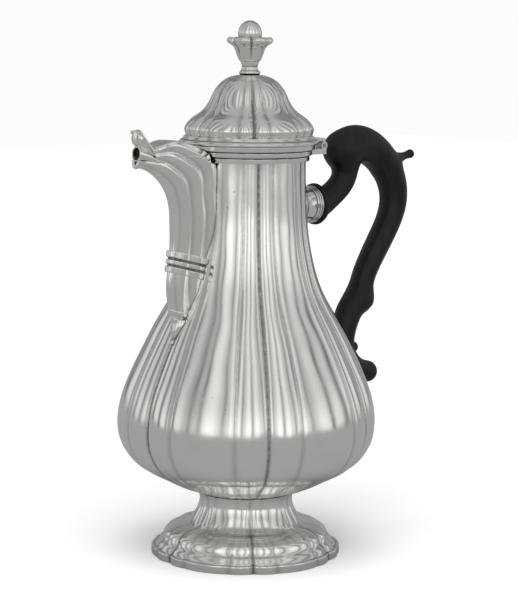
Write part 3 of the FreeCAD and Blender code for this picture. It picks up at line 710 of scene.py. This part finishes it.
def seamMark(points):
    # Darkening in the corner where a piece meets the belly: tarnish and painted shade
    reach = np.hypot(points[..., 0], points[..., 1])
    gap = reach - bellyRadius(points, 0)
    return hill(np.maximum(gap, 0), 0.55) * (points[..., 2] < 216)


def wallGrid(outer, inner, marks, innerMark):
    # A wall between two open sheets, closed along both long edges and across both ends
    rows, half = outer.shape[:2]
    grid = np.concatenate([outer, inner[:, ::-1]], 1)
    marks = np.concatenate([marks, np.full((rows, half), innerMark)], 1)
    faces = gridFaces(rows, 2 * half)
    k = np.arange(half - 1)
    first = np.stack([k + 1, k, 2 * half - 1 - k, 2 * half - 2 - k], 1)
    last = (rows - 1) * 2 * half + first[:, ::-1]
    return grid, faces + first.tolist() + last.tolist(), marks


def makeLowerSpout():
    # The lower jaw: outer beak up to the seam, over the edge and back down the inner beak.
    # At the tip the wall flares a little and its edge is rolled.
    lastPath = spoutSize["tipTurn"] * spoutSize["turnStep"]
    path = np.concatenate([np.linspace(-57, 0, 64), np.linspace(0, lastPath, 96)[1:]])
    keel, back, half = spoutAt(path)
    turn = path / spoutSize["turnStep"]
    corners = np.array(lowerEdge)
    split = np.interp(turn, corners[:, 0], corners[:, 1])[:, None]
    split = np.minimum(np.where(turn[:, None] < spoutSize["partTurn"], back, split), back)
    share = (split - back) / ((keel - back) * spoutSize["flank"])
    edge = 1 - np.clip(share, 0, 1) * 0.78
    t = np.linspace(-1, 1, spoutSize["columns"])[None, :]
    lip = ease(turn[:, None], 72, 84)
    outAway, outAcross, groove = beak(keel, back, half, t * edge)
    outer = spoutPlace(path, outAway, outAcross * (1 + 0.10 * lip))
    thick = spoutSize["thick"] * (1 + 0.3 * lip)
    inAway, inAcross, _ = beak(keel + thick, back, half - thick, t * edge)
    inner = spoutPlace(path, np.minimum(inAway, split), inAcross * (1 + 0.10 * lip))
    # The flutes' valleys get a light mark, tarnish and painted shade; the inner face a strong one,
    # painted shade inside the spout
    grid, faces, marks = wallGrid(outer, inner, groove * 0.35, 0.9)
    grid = clearOfPot(grid)
    marks = np.clip(marks * (1 - 0.5 * lip) + seamMark(grid), 0, 1)
    rim = (outer[-1] + inner[-1]) / 2
    fullness = np.sin(np.pi * np.linspace(0.12, 0.88, len(rim))) ** 0.5
    lipRoll = rolled(rim, spoutSize["lipRoll"] * fullness)
    addPiece("spout_lower", joined([(grid, faces, marks), lipRoll, makeCheek()]), "pot",
             raisedSilver, ["spout"])


def rolled(line, radius, around=16):
    # A round bead carried along a line of points, closed at both ends
    tangent = np.gradient(line, axis=0)
    tangent /= np.linalg.norm(tangent, axis=1, keepdims=True)
    side = np.cross(tangent, (0.0, 0.35, 1.0))
    side /= np.linalg.norm(side, axis=1, keepdims=True)
    up = np.cross(side, tangent)
    angle = allRound(around)[..., None]
    ring = side[:, None] * np.cos(angle) + up[:, None] * np.sin(angle)
    grid = line[:, None] + ring * np.asarray(radius)[..., None, None]
    return shell(grid, np.zeros(grid.shape[:2]))


def makeCheek():
    # The round mouth between the jaws: an oval tube that widens towards the tip, out to its
    # rim and back down inside to an end painted dark as shade
    turn = np.linspace(58, 84.2, 40)
    middle = np.interp(turn, (58, 65, 72, 84.2), (34.0, 32.6, 33.0, 33.6))
    tall = np.interp(turn, (58, 65, 74, 84.2), (1.6, 2.2, 3.4, 3.9))
    wide = np.interp(turn, (58, 65, 74, 84.2), (5.6, 5.6, 4.5, 3.7))
    shrink = np.concatenate([np.zeros(40), [0.35, 0.6], np.full(16, 0.75)])
    turn = np.concatenate([turn, [84.5, 84.3], np.linspace(84.0, 72, 16)])
    middle = np.concatenate([middle, np.full(18, 33.6)])
    tall = np.concatenate([tall, np.full(18, 3.9)]) - shrink
    wide = np.concatenate([wide, np.full(18, 3.7)]) - shrink
    theta = allRound(64)
    away = middle[:, None] + tall[:, None] * np.cos(theta)
    across = wide[:, None] * np.sin(theta)
    grid = spoutPlace(turn * spoutSize["turnStep"], away, across)
    # The rows down inside are fully marked: painted shade in the mouth
    marks = np.where(np.arange(58) > 41, 1.0, 0.12)[:, None] * np.ones_like(across)
    return shell(grid, marks)


def makeUpperSpout():
    # The upper jaw: flank from the seam to the back corner, over the crowned roof and down
    # the other flank. Towards the tip the outline turns to half an ellipse, like a spoon.
    path = np.linspace(19.0, 64.4, 100)
    keel, back, half = spoutAt(path)
    turn = (path / spoutSize["turnStep"])[:, None]
    corners = np.array(upperEdge)
    split = np.interp(turn[:, 0], corners[:, 0], corners[:, 1])[:, None]
    share = np.clip((split - back) / ((keel - back) * spoutSize["flank"]), 0, 1)
    edge = 1 - share * 0.78
    spoon = ease(turn, 64, 80)
    flank = np.linspace(0, 1, 25)[None, :]
    roof = np.linspace(-1, 1, 33)[None, 1:-1]
    saddle = 1.3 * hill(turn - 40, 14)

    def jaw(thick):
        side = edge + (1 - edge) * flank
        wide = np.maximum(half - thick, 0.4)
        away, across, groove = beak(keel + thick, back - thick, wide, side)
        crown = back - thick + saddle * (1 - roof ** 2)
        roofAcross = -wide * roof
        away = np.concatenate([away, crown, away[:, ::-1]], 1)
        across = np.concatenate([across, roofAcross, -across[:, ::-1]], 1)
        groove = np.concatenate([groove, 0 * crown, groove[:, ::-1]], 1)
        place = np.concatenate([flank * 0.38, 0.38 + 0.24 * (roof + 1) / 2,
                                1 - 0.38 * flank[:, ::-1]], 1)
        angle = np.pi * (place - 0.5)
        roundAway = split + (back - thick - split) * np.cos(angle) ** 0.9
        roundAcross = -wide * 1.03 * np.sin(angle)
        away = away + spoon * (roundAway - away)
        across = across + spoon * (roundAcross - across)
        return spoutPlace(path, np.maximum(away, split), across), groove * (1 - spoon)

    outer, groove = jaw(0)
    inner, _ = jaw(spoutSize["thick"] * (1 + 0.3 * spoon))
    # The flutes' valleys get a light mark, tarnish and painted shade; the inner face a strong one,
    # painted shade inside the spout, with less of it near the tip
    grid, faces, marks = wallGrid(outer, inner, groove * 0.3, 0.85)
    marks[:, outer.shape[1]:] *= 1 - 0.95 * ease(turn, 72, 80)
    grid = clearOfPot(grid)
    marks = np.clip(marks + seamMark(grid), 0, 1)
    # A bead along the jaw's free edge: up one side, round the tip and down the other
    edgeLine = (outer + inner) / 2
    free = np.searchsorted(turn[:, 0], 63.0)
    line = np.concatenate([edgeLine[free:, 0], edgeLine[-1, 1:-1], edgeLine[free:, -1][::-1]])
    along = np.linspace(0, 1, len(line))
    size = spoutSize["edgeBead"] * np.clip(np.minimum(along, 1 - along) / 0.12, 0.05, 1)
    addPiece("spout_upper", joined([(grid, faces, marks), rolled(line, size), makeLip()]), "pot",
             raisedSilver, ["spout_cover"])


def makeLip():
    # The thick lip over the mouth: an oval that swells towards the tip and ends in a dome
    stations = np.array(((62.0, 34.6, 1.6, 3.0), (68.0, 34.6, 2.4, 4.4), (74.0, 36.4, 2.9, 4.4),
                         (79.0, 39.0, 3.5, 4.2), (82.0, 40.7, 4.1, 4.1), (84.4, 41.6, 4.5, 4.2),
                         (85.6, 41.7, 3.9, 3.7), (86.2, 41.7, 2.6, 2.5), (86.4, 41.7, 1.0, 1.0)))
    turn = np.concatenate([np.linspace(62, 84, 40), np.linspace(84, 86.4, 25)[1:]])
    middle, tall, wide = (curveAt(stations[:, 0], stations[:, column], turn)[:, None]
                          for column in (1, 2, 3))
    theta = allRound(64)
    grid = spoutPlace(turn * spoutSize["turnStep"], middle + tall * np.cos(theta),
                      wide * np.sin(theta))
    return shell(grid, np.zeros(grid.shape[:2]))


bandTilt = 0.26  # how steeply the mouldings fall from the keel to the pot


def makeMoulding(name, node, profile):
    # Mouldings that hug the spout: a profile (height, how proud) carried round the beak
    profile = np.array(profile, float)
    corners = [(proud, height, fillet) for height, proud, fillet in profile]
    corners += [(-0.6, profile[-1, 0], 0.1), (-0.6, profile[0, 0], 0.1)]
    outline = closedOutline(corners, 0.35)
    path = outline[:, 1] - spoutSize["bendHeight"]
    keel, back, half = spoutAt(path)
    proud = outline[:, :1]
    t = np.linspace(-1, 1, 121)[None, :]
    away, across, groove = beak(keel, back, half, t)
    smooth, flatAcross, _ = beak(keel - proud, back, half + proud, t)
    grid = spoutPlace(path, smooth, flatAcross)
    grid[..., 2] -= bandTilt * (smooth - 30.0)
    grid = againstBelly(grid)
    # Darker in the profile's inward corners and where it meets the belly: tarnish and painted
    # shade
    marks = np.clip(1.8 * hollows(outline)[:, None] + 0 * across + seamMark(grid), 0, 1)
    addPiece(name, wrapped(grid, marks), "pot", castSilver, [node])


def makeDrop():
    # A fluted drop that narrows down the belly to a bead: height, reach, radius
    stations = np.array(((133.0, 45.4, 4.9), (130.8, 46.3, 4.9), (128.6, 47.3, 4.4),
                         (125.6, 48.9, 3.2), (123.9, 49.9, 2.1), (123.0, 50.5, 1.5),
                         (122.4, 50.8, 1.75), (121.2, 51.3, 2.0), (120.0, 51.3, 1.6),
                         (119.4, 51.2, 0.5)))
    line = alongCurve(stations, 70)
    theta = allRound(72)
    flute = 0.05 * np.abs(np.sin(3 * theta + 0.5)) * ease(line[:, :1], 124, 128)
    radius = line[:, 2:] * (0.96 + flute)
    grid = np.stack([-line[:, 1:2] - radius * np.cos(theta), -radius * np.sin(theta),
                     np.broadcast_to(line[:, :1], radius.shape)], -1)[::-1]
    grid = againstBelly(grid)
    # Darker at the waist above the bead and where it meets the belly: tarnish and painted shade
    neck = hill(grid[..., 2] - 123.0, 0.7)
    marks = np.clip(seamMark(grid) + neck * 0.7, 0, 1)
    addPiece("spout_pendant", shell(grid, marks), "pot", castSilver, ["spout_drop"])


makeLowerSpout()
makeUpperSpout()
makeMoulding("spout_band", "spout_upper_band",
             ((157.3, 1.3, 0.5), (160.5, 1.4, 0.5), (160.8, 0.3, 0.12), (161.7, 0.3, 0.12),
              (162.0, 1.2, 0.5), (164.1, 1.2, 0.5), (164.4, 0.3, 0.12), (165.3, 0.3, 0.12),
              (165.6, 1.4, 0.5), (168.9, 1.3, 0.5)))
makeMoulding("spout_rings", "spout_lower_rings",
             ((131.0, 0.9, 0.5), (133.3, 1.1, 0.7), (133.6, -0.1, 0.1), (135.0, -0.1, 0.1),
              (135.2, 1.1, 0.7), (137.7, 0.9, 0.7)))
makeDrop()
print("spout made")


# Lid: a lobed dome on a flange, with a bezel that drops into the neck

domeStations = ((229.0, 34.0, 2.6), (232.6, 34.8, 2.9), (235.4, 33.4, 2.8), (238.2, 30.7, 2.5),
                (240.6, 27.2, 2.1), (243.6, 23.9, 1.7), (247.2, 21.6, 1.3), (251.2, 19.8, 1.0),
                (254.6, 17.7, 0.8), (257.4, 15.1, 0.6), (259.6, 11.8, 0.4), (261.0, 7.2, 0.2))
flangeCorners = ((29.0, 224.6, 0.15), (37.4, 224.6, 0.5), (37.9, 225.6, 0.5), (37.2, 226.6, 0.5),
                 (36.0, 226.9, 0.5), (35.0, 228.6, 0.6), (34.2, 229.0, 0.3), (29.0, 229.0, 0.1))
bezelCorners = ((27.8, 219.6, 0.25), (28.7, 219.6, 0.25), (28.7, 229.0, 0.1), (27.8, 229.0, 0.1))
lidSize = {"thick": 0.9, "turn": -5.0, "rows": 100, "innerRows": 50, "columns": 288}


def makeLid():
    dome = wrapped(*lobedWall(domeStations, lidSize["thick"], lidSize["rows"],
                              lidSize["innerRows"], lidSize["columns"], lidSize["turn"],
                              base=229.0, top=260.2, groove=1.2, waver=0.03))
    addPiece("lid_dome", dome, "lid", raisedSilver, ["lid"])
    flange = spun(closedOutline(flangeCorners, 0.5), lidSize["columns"], waver=0.02)
    addPiece("lid_rim", flange, "lid", castSilver, ["lid_flange"])
    bezel = spun(closedOutline(bezelCorners, 0.6), 192)
    addPiece("lid_inner_ring", bezel, "lid", raisedSilver, ["lid_bezel"])


def makeFinial():
    # The stem is turned; the calyx has six petals whose edges fall back to sharp cusps; the
    # bud is an egg, all about the pot's axis
    stem = ((2.05, 261.0, 0.1), (5.2, 261.0, 0.2), (5.95, 262.4, 0.9), (4.7, 263.6, 0.5),
            (4.2, 265.6, 1.0), (5.0, 268.0, 0.1), (2.05, 268.0, 0.1))
    addPiece("finial_shaft", spun(closedOutline(stem, 0.3), 96), "lid", castSilver,
             ["finial_stem"])
    stations = np.array(((268.0, 2.05, 0.0), (268.02, 4.9, 0.1), (270.4, 6.6, 0.4),
                         (273.2, 7.6, 0.8), (276.0, 8.9, 1.4), (277.4, 10.9, 2.3),
                         (278.6, 12.3, 2.9), (279.8, 12.5, 3.0), (280.9, 11.7, 2.7),
                         (281.2, 10.6, 2.2), (280.2, 8.8, 1.2), (278.9, 6.6, 0.5),
                         (278.4, 4.6, 0.1), (277.0, 2.3, 0.0)))
    line = alongCurve(stations, 110)
    degrees = np.linspace(0, 360, 216, endpoint=False)[None, :]
    off = (degrees % 60 - 30) / 30
    cusp = np.abs(off) ** 2.4
    ripple = 0.35 * ease(line[:, :1], 274, 279) * np.cos(np.pi * off * 2) * -0.3
    radius = line[:, 1:2] - line[:, 2:] * cusp + ripple
    theta = np.radians(degrees - 5.0)
    grid = polar(radius, theta, line[:, :1] - 0.25 * line[:, 2:] * cusp)
    # Darker at the cusps between petals, tarnish and painted shade, and inside the cup under the
    # bud, painted shade
    marks = np.clip(hill(1 - np.abs(off), 0.12) * np.clip(line[:, 2:], 0, 1)
                    + ease(-line[:, 1:2], -8.6, -6.6) * (line[:, :1] > 277), 0, 1)
    addPiece("finial_petals", wrapped(grid, marks), "lid", castSilver, ["finial_calyx"])
    rise = np.linspace(-np.pi / 2, np.pi / 2, 62)[1:-1, None]
    theta = allRound(96)
    swell = 6.4 * np.cos(rise) * (1 + 0.006 * np.sin(3 * theta + 2 * rise))
    grid = polar(swell, theta, 283.0 + 7.0 * np.sin(rise))
    # The bud is darker low down inside the cup: painted shade
    marks = ease(-grid[..., 2], -281.5, -279.5)
    addPiece("finial_egg", shell(grid, marks), "lid", castSilver, ["finial_bud"])


makeLid()
makeFinial()
print("lid and finial made")


# Handle sockets, turned about their own level axes

handleAxes = (189.5, 101.5)  # heights of the upper and the lower socket
upperSleeve = ((8.5, 34.2, 0.1), (9.4, 34.2, 0.1), (9.35, 38.0, 2.0), (9.5, 41.6, 0.2),
               (10.2, 41.8, 0.5), (10.2, 43.2, 0.5), (9.5, 43.35, 0.12), (10.2, 43.5, 0.5),
               (10.2, 44.75, 0.5), (9.5, 44.9, 0.12), (10.2, 45.05, 0.5), (10.2, 46.4, 0.4),
               (8.5, 46.4, 0.1))
lowerSleeve = ((5.2, 66.6, 0.1), (6.1, 66.6, 0.2), (6.1, 69.8, 0.3), (5.2, 69.8, 0.1))
upperPlate = ((0.5, 25.0, 0.1), (11.4, 25.0, 0.1), (11.4, 34.2, 0.9), (0.5, 34.2, 0.1))
lowerPlate = ((0.4, 58.0, 0.1), (7.6, 58.0, 0.1), (7.6, 66.6, 0.7), (0.4, 66.6, 0.1))


def makeSockets():
    # Each socket is a plate that beds on the belly and a sleeve beyond it
    for name, outline, sleeve, around, height in (
            ("upper", closedOutline(upperPlate, 0.6)[::-1], upperSleeve, 144, handleAxes[0]),
            ("lower", closedOutline(lowerPlate, 0.6), lowerSleeve, 120, handleAxes[1])):
        points, faces, marks = spun(outline, around, True, (0, 0, height))
        points = againstBelly(points)
        marks = np.clip(marks + seamMark(points), 0, 1)
        addPiece(name + "_disc", (points, faces, marks), "pot", castSilver,
                 [name + "_socket_plate"])
        part = spun(closedOutline(sleeve, 0.35), around, True, (0, 0, height))
        addPiece(name + "_sleeve", part, "pot", castSilver, [name + "_socket"])


makeSockets()
print("sockets made")


# Handle: round limbs through (reach, height, radius), blended where they meet

handleRuns = {
    "neck": ((46.9, 189.5, 9.3), (50.4, 189.7, 8.5), (55.5, 191.6, 7.5), (62.0, 195.4, 7.0),
             (67.4, 200.2, 7.0), (70.4, 206.0, 7.1), (70.6, 212.0, 7.6), (69.8, 218.0, 8.4)),
    "arch": ((68.6, 218.8, 11.6), (76.0, 221.6, 11.2), (84.4, 220.9, 10.7), (92.4, 217.2, 10.1),
             (99.6, 211.2, 9.5), (105.2, 203.4, 8.9), (108.2, 195.0, 8.4), (108.2, 186.4, 8.0),
             (104.6, 176.6, 7.6), (97.8, 165.6, 7.4), (90.6, 154.6, 7.1), (85.2, 143.6, 7.0),
             (83.4, 134.0, 7.3)),
    "scroll": ((82.6, 134.2, 7.6), (77.0, 129.2, 7.6), (73.2, 122.8, 7.4), (70.9, 116.0, 7.2),
               (70.3, 109.2, 7.0), (72.2, 102.6, 6.8), (76.6, 97.0, 6.6), (82.8, 93.0, 6.3),
               (89.6, 91.0, 6.2)),
    "spur": ((102.0, 208.8, 8.0), (106.6, 210.9, 6.0), (111.0, 212.4, 3.9), (114.6, 213.3, 2.6),
             (118.0, 214.1, 2.2), (121.0, 214.8, 2.6))}
handleBalls = ((89.0, 131.6, 4.0), (78.4, 106.2, 3.2))
handleEnds = (  # turned collar and the two tenons: corners, longest step, columns, height
    (((0.5, 46.45, 0.1), (11.3, 46.45, 0.6), (11.6, 48.0, 1.2), (10.2, 50.4, 1.2),
      (8.0, 51.6, 0.8), (0.5, 51.6, 0.1)), 0.5, 120, handleAxes[0]),
    (((0.4, 35.2, 0.2), (8.45, 35.2, 0.4), (8.45, 47.0, 0.1), (0.4, 47.0, 0.1)), 1.0, 72,
     handleAxes[0]),
    (((0.4, 67.0, 0.2), (5.15, 67.0, 0.4), (5.15, 73.0, 0.1), (0.4, 73.0, 0.1)), 1.0, 72,
     handleAxes[1]))
handleLook = {"blend": 5.0, "spurBlend": 3.0, "ridge": 0.035, "around": 96}


def limbField(points, line):
    # Distance from each point to a limb: the least over its stations of the distance to the
    # station less its radius
    gap = points[:, None, :] - np.stack([line[:, 0], 0 * line[:, 0], line[:, 1]], 1)[None]
    return (np.sqrt((gap ** 2).sum(-1)) - line[None, :, 2]).min(1)


def limbGrid(line, around, ridge):
    # Rings square to the path, a faint ridge down each side, and half a ball at each end
    tangent = np.gradient(line[:, :2], axis=0)
    tangent /= np.linalg.norm(tangent, axis=1, keepdims=True)
    caps = []
    for end, sign in ((0, -1), (-1, 1)):
        lift = np.linspace(0, np.pi / 2, 13)[1:-1][::sign]
        centre = line[end, :2] + sign * tangent[end] * (line[end, 2] * np.sin(lift))[:, None]
        caps.append((np.column_stack([centre, line[end, 2] * np.cos(lift)]),
                     np.repeat(tangent[end][None], len(lift), 0)))
    line = np.concatenate([caps[0][0], line, caps[1][0]])
    tangent = np.concatenate([caps[0][1], tangent, caps[1][1]])
    side = np.stack([tangent[:, 1], -tangent[:, 0]], 1)
    angle = allRound(around)
    rise = sum(hill((angle + place + np.pi) % (2 * np.pi) - np.pi, 0.16)
               for place in (-0.62, 0.62))
    radius = line[:, 2:3] * (1 - ridge + ridge * rise)
    out = np.stack([side[:, :1] * np.cos(angle), np.broadcast_to(np.sin(angle), radius.shape),
                    side[:, 1:2] * np.cos(angle)], -1)
    middle = np.stack([line[:, 0], 0 * line[:, 0], line[:, 1]], 1)[:, None, :]
    return middle + out * radius[..., None], out


def makeHandle():
    runs = {word: alongCurve(run, max(24, 9 * len(run))) for word, run in handleRuns.items()}
    parts = []
    for word, line in runs.items():
        ridge = handleLook["ridge"] if word == "arch" else 0.0
        grid, out = limbGrid(line, handleLook["around"], ridge)
        start = grid.reshape(-1, 3)
        own = np.zeros(len(start))
        for other, path in runs.items():
            if other == word or {word, other} <= {"neck", "spur", "scroll"}:
                continue
            gap = limbField(start, path)
            width = handleLook["spurBlend" if "spur" in (word, other) else "blend"]
            lift = np.clip(1 - np.abs(gap) / width, 0, 1) ** 2 * width / 4
            own = np.maximum(own, lift)
        grid = grid + out * own.reshape(grid.shape[:2] + (1,))
        parts.append(shell(grid, np.zeros(grid.shape[:2])))
    for reachX, height, radius in handleBalls:
        rise = np.linspace(-np.pi / 2, np.pi / 2, 34)[1:-1, None]
        theta = allRound(48)
        grid = np.stack([reachX + radius * np.cos(rise) * np.cos(theta),
                         radius * np.cos(rise) * np.sin(theta),
                         height + radius * np.sin(rise) + 0 * theta], -1)
        parts.append(shell(grid, np.zeros(grid.shape[:2])))
    for corners, longest, around, height in handleEnds:
        parts.append(spun(closedOutline(corners, longest), around, True, (0, 0, height)))
    addPiece("wood_handle", joined(parts), "pot", blackWood, ["handle"])


makeHandle()
print("handle made")


# CAD parts that keep their shape get a finish

for node in ("body_hinge_leaf", "lid_hinge_leaf"):
    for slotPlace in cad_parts[node].material_slots:
        slotPlace.material = castSilver[0]
for node in ("hinge_pin", "upper_handle_pin", "lower_handle_pin", "finial_stud", "finial_nut"):
    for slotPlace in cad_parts[node].material_slots:
        slotPlace.material = darkPin[0]


# Table, light and camera

table = {"half": 3.0, "seen": 1.0, "glow": 0.14, "reflected": 0.40}
light = {
    # greys by direction: wall in front, at the sides and behind, top, and what a camera sees
    "front": 0.84, "side": 0.46, "back": 0.32, "top": 0.46, "seen": 0.972,
    "upper": 0.70, "horizon": 0.66,  # shares of the wall's grey high up and at its foot
    "centre": 6.0,  # degrees from the camera to the middle of the front wall
    "strip": 0.36,  # brighter upright strips: how much, then direction and half width
    "strips": ((-132, 7), (-104, 8), (-76, 7), (-30, 8), (7, 6), (31, 6), (72, 9), (96, 7),
               (124, 8)),
    "gapDepth": 0.62, "gapWide": 12.0,  # dark upright gaps and their directions
    "gaps": (-146, -118, -90, -58, -44, -12, 18, 52, 84, 110, 138)}
keyLight = {"place": (-0.45, -0.5, 2.0), "target": (0, 0, 0.1), "spread": 48, "strength": 1.6}
view = {"place": (-0.693, -0.826, 0.289), "aimHeight": 0.1396, "lens": 120.24, "aside": 11.5,
        "lean": 0.58}


def makeTable():
    half = table["half"]
    mesh = bpy.data.meshes.new("table")
    mesh.from_pydata([(-half, -half, 0), (half, -half, 0), (half, half, 0), (-half, half, 0)], [],
                     [(0, 1, 2, 3)])
    mesh.update()
    material = bpy.data.materials.new("tableTop")
    material.use_nodes = True
    tree = material.node_tree
    tree.nodes.clear()
    add = nodeTree(tree)
    rays = add("ShaderNodeLightPath")
    seen = add("ShaderNodeBsdfDiffuse", {"Color": (table["seen"],) * 3 + (1,)})
    glow = add("ShaderNodeEmission", {"Color": (1, 1, 1, 1), "Strength": table["glow"]})
    both = add("ShaderNodeAddShader")
    tree.links.new(seen.outputs[0], both.inputs[0])
    tree.links.new(glow.outputs[0], both.inputs[1])
    # Every ray but the camera's sees the top as a darker grey: painted shade on the table as the
    # silver reflects it
    other = add("ShaderNodeBsdfDiffuse", {"Color": (table["reflected"],) * 3 + (1,)})
    choice = add("ShaderNodeMixShader")
    tree.links.new(rays.outputs["Is Camera Ray"], choice.inputs[0])
    tree.links.new(other.outputs[0], choice.inputs[1])
    tree.links.new(both.outputs[0], choice.inputs[2])
    result = add("ShaderNodeOutputMaterial")
    tree.links.new(choice.outputs[0], result.inputs["Surface"])
    mesh.materials.append(material)
    piece = bpy.data.objects.new("table", mesh)
    bpy.context.collection.objects.link(piece)


def makeWorld():
    # Light by direction: a bright front wall with thin dark gaps, dimmer sides and back, a
    # soft top. The pale backdrop is what the camera itself sees.
    world = bpy.data.worlds.new("studio")
    world.use_nodes = True
    bpy.context.scene.world = world
    tree = world.node_tree
    tree.nodes.clear()
    add = nodeTree(tree)
    where = add("ShaderNodeTexCoord").outputs["Generated"]
    facing = math.atan2(view["place"][1], view["place"][0])
    turned = add("ShaderNodeMapping", {"Vector": where, "Rotation": (0, 0, -facing)})
    apart = add("ShaderNodeSeparateXYZ", {"Vector": turned.outputs[0]})
    x, y, z = apart.outputs
    degrees = times(add, maths(add, "ARCTAN2", y, x), 180 / math.pi)

    def awayFrom(place, wide):
        # Degrees from a direction, as a share of the width
        return maths(add, "DIVIDE", maths(add, "ABSOLUTE", less(add, degrees, float(place))), wide)

    wall = ramp(add, awayFrom(light["centre"], 180.0),
                [(0.0, light["front"]), (0.22, light["front"] * 0.94), (0.44, light["side"]),
                 (0.75, light["side"] * 0.8), (1.0, light["back"])])
    gaps = 0.0
    for place in light["gaps"]:
        line = ramp(add, awayFrom(place, light["gapWide"]), [(0.06, 1.0), (0.3, 0.0)])
        gaps = maths(add, "MAXIMUM", gaps, line)
    for place, wide in light["strips"]:
        line = ramp(add, awayFrom(place, 2.0 * wide), [(0.3, 1.0), (0.75, 0.0)])
        wall = plus(add, wall, times(add, line, light["strip"]))
    wall = times(add, wall, ramp(add, z, [(0.0, light["horizon"]), (0.05, 1.0), (0.18, 1.0),
                                          (0.5, light["upper"])]))
    low = ramp(add, z, [(0.0, 0.0), (0.03, 1.0)])
    high = ramp(add, z, [(0.80, 0.0), (0.97, 1.0)])
    gaps = times(add, times(add, gaps, light["gapDepth"]), low)
    wall = times(add, wall, less(add, 1.0, gaps))
    sky = mixed(add, high, wall, (light["top"],) * 3 + (1,))
    rays = add("ShaderNodeLightPath")
    colour = mixed(add, rays.outputs["Is Camera Ray"], sky, (light["seen"],) * 3 + (1,))
    back = add("ShaderNodeBackground", {"Color": colour, "Strength": 1.0})
    result = add("ShaderNodeOutputWorld")
    tree.links.new(back.outputs[0], result.inputs["Surface"])


def makeKeyLight():
    # One soft lamp from above and in front, for the floor and the wood: not in reflections
    lamp = bpy.data.lights.new("keyLight", "SUN")
    lamp.angle, lamp.energy = math.radians(keyLight["spread"]), keyLight["strength"]
    holder = bpy.data.objects.new("keyLight", lamp)
    bpy.context.collection.objects.link(holder)
    facing = (Vector(keyLight["target"]) - Vector(keyLight["place"])).to_track_quat("-Z", "Y")
    holder.matrix_world = Matrix.Translation(keyLight["place"]) @ facing.to_matrix().to_4x4()
    holder.visible_camera = False
    holder.visible_glossy = False


def makeCamera():
    # Aimed at the pot's axis, then turned so the axis stands a little left, and leaned
    lens = bpy.data.cameras.new("camera")
    lens.lens, lens.sensor_width, lens.sensor_fit = view["lens"], 36, "AUTO"
    lens.clip_start = 0.01
    camera = bpy.data.objects.new("camera", lens)
    bpy.context.collection.objects.link(camera)
    place = Vector(view["place"])
    towards = Vector((0, 0, view["aimHeight"])) - place
    turn = math.atan(view["aside"] / (600 * view["lens"] / 36))
    towards.rotate(Matrix.Rotation(-turn, 3, "Z"))
    facing = towards.to_track_quat("-Z", "Y").to_matrix().to_4x4()
    lean = Matrix.Rotation(math.radians(view["lean"]), 4, "Z")
    camera.matrix_world = Matrix.Translation(place) @ facing @ lean
    bpy.context.scene.camera = camera


makeTable()
makeWorld()
makeKeyLight()
makeCamera()
bpy.context.scene.view_settings.view_transform = "Standard"
print("table, light and camera made")
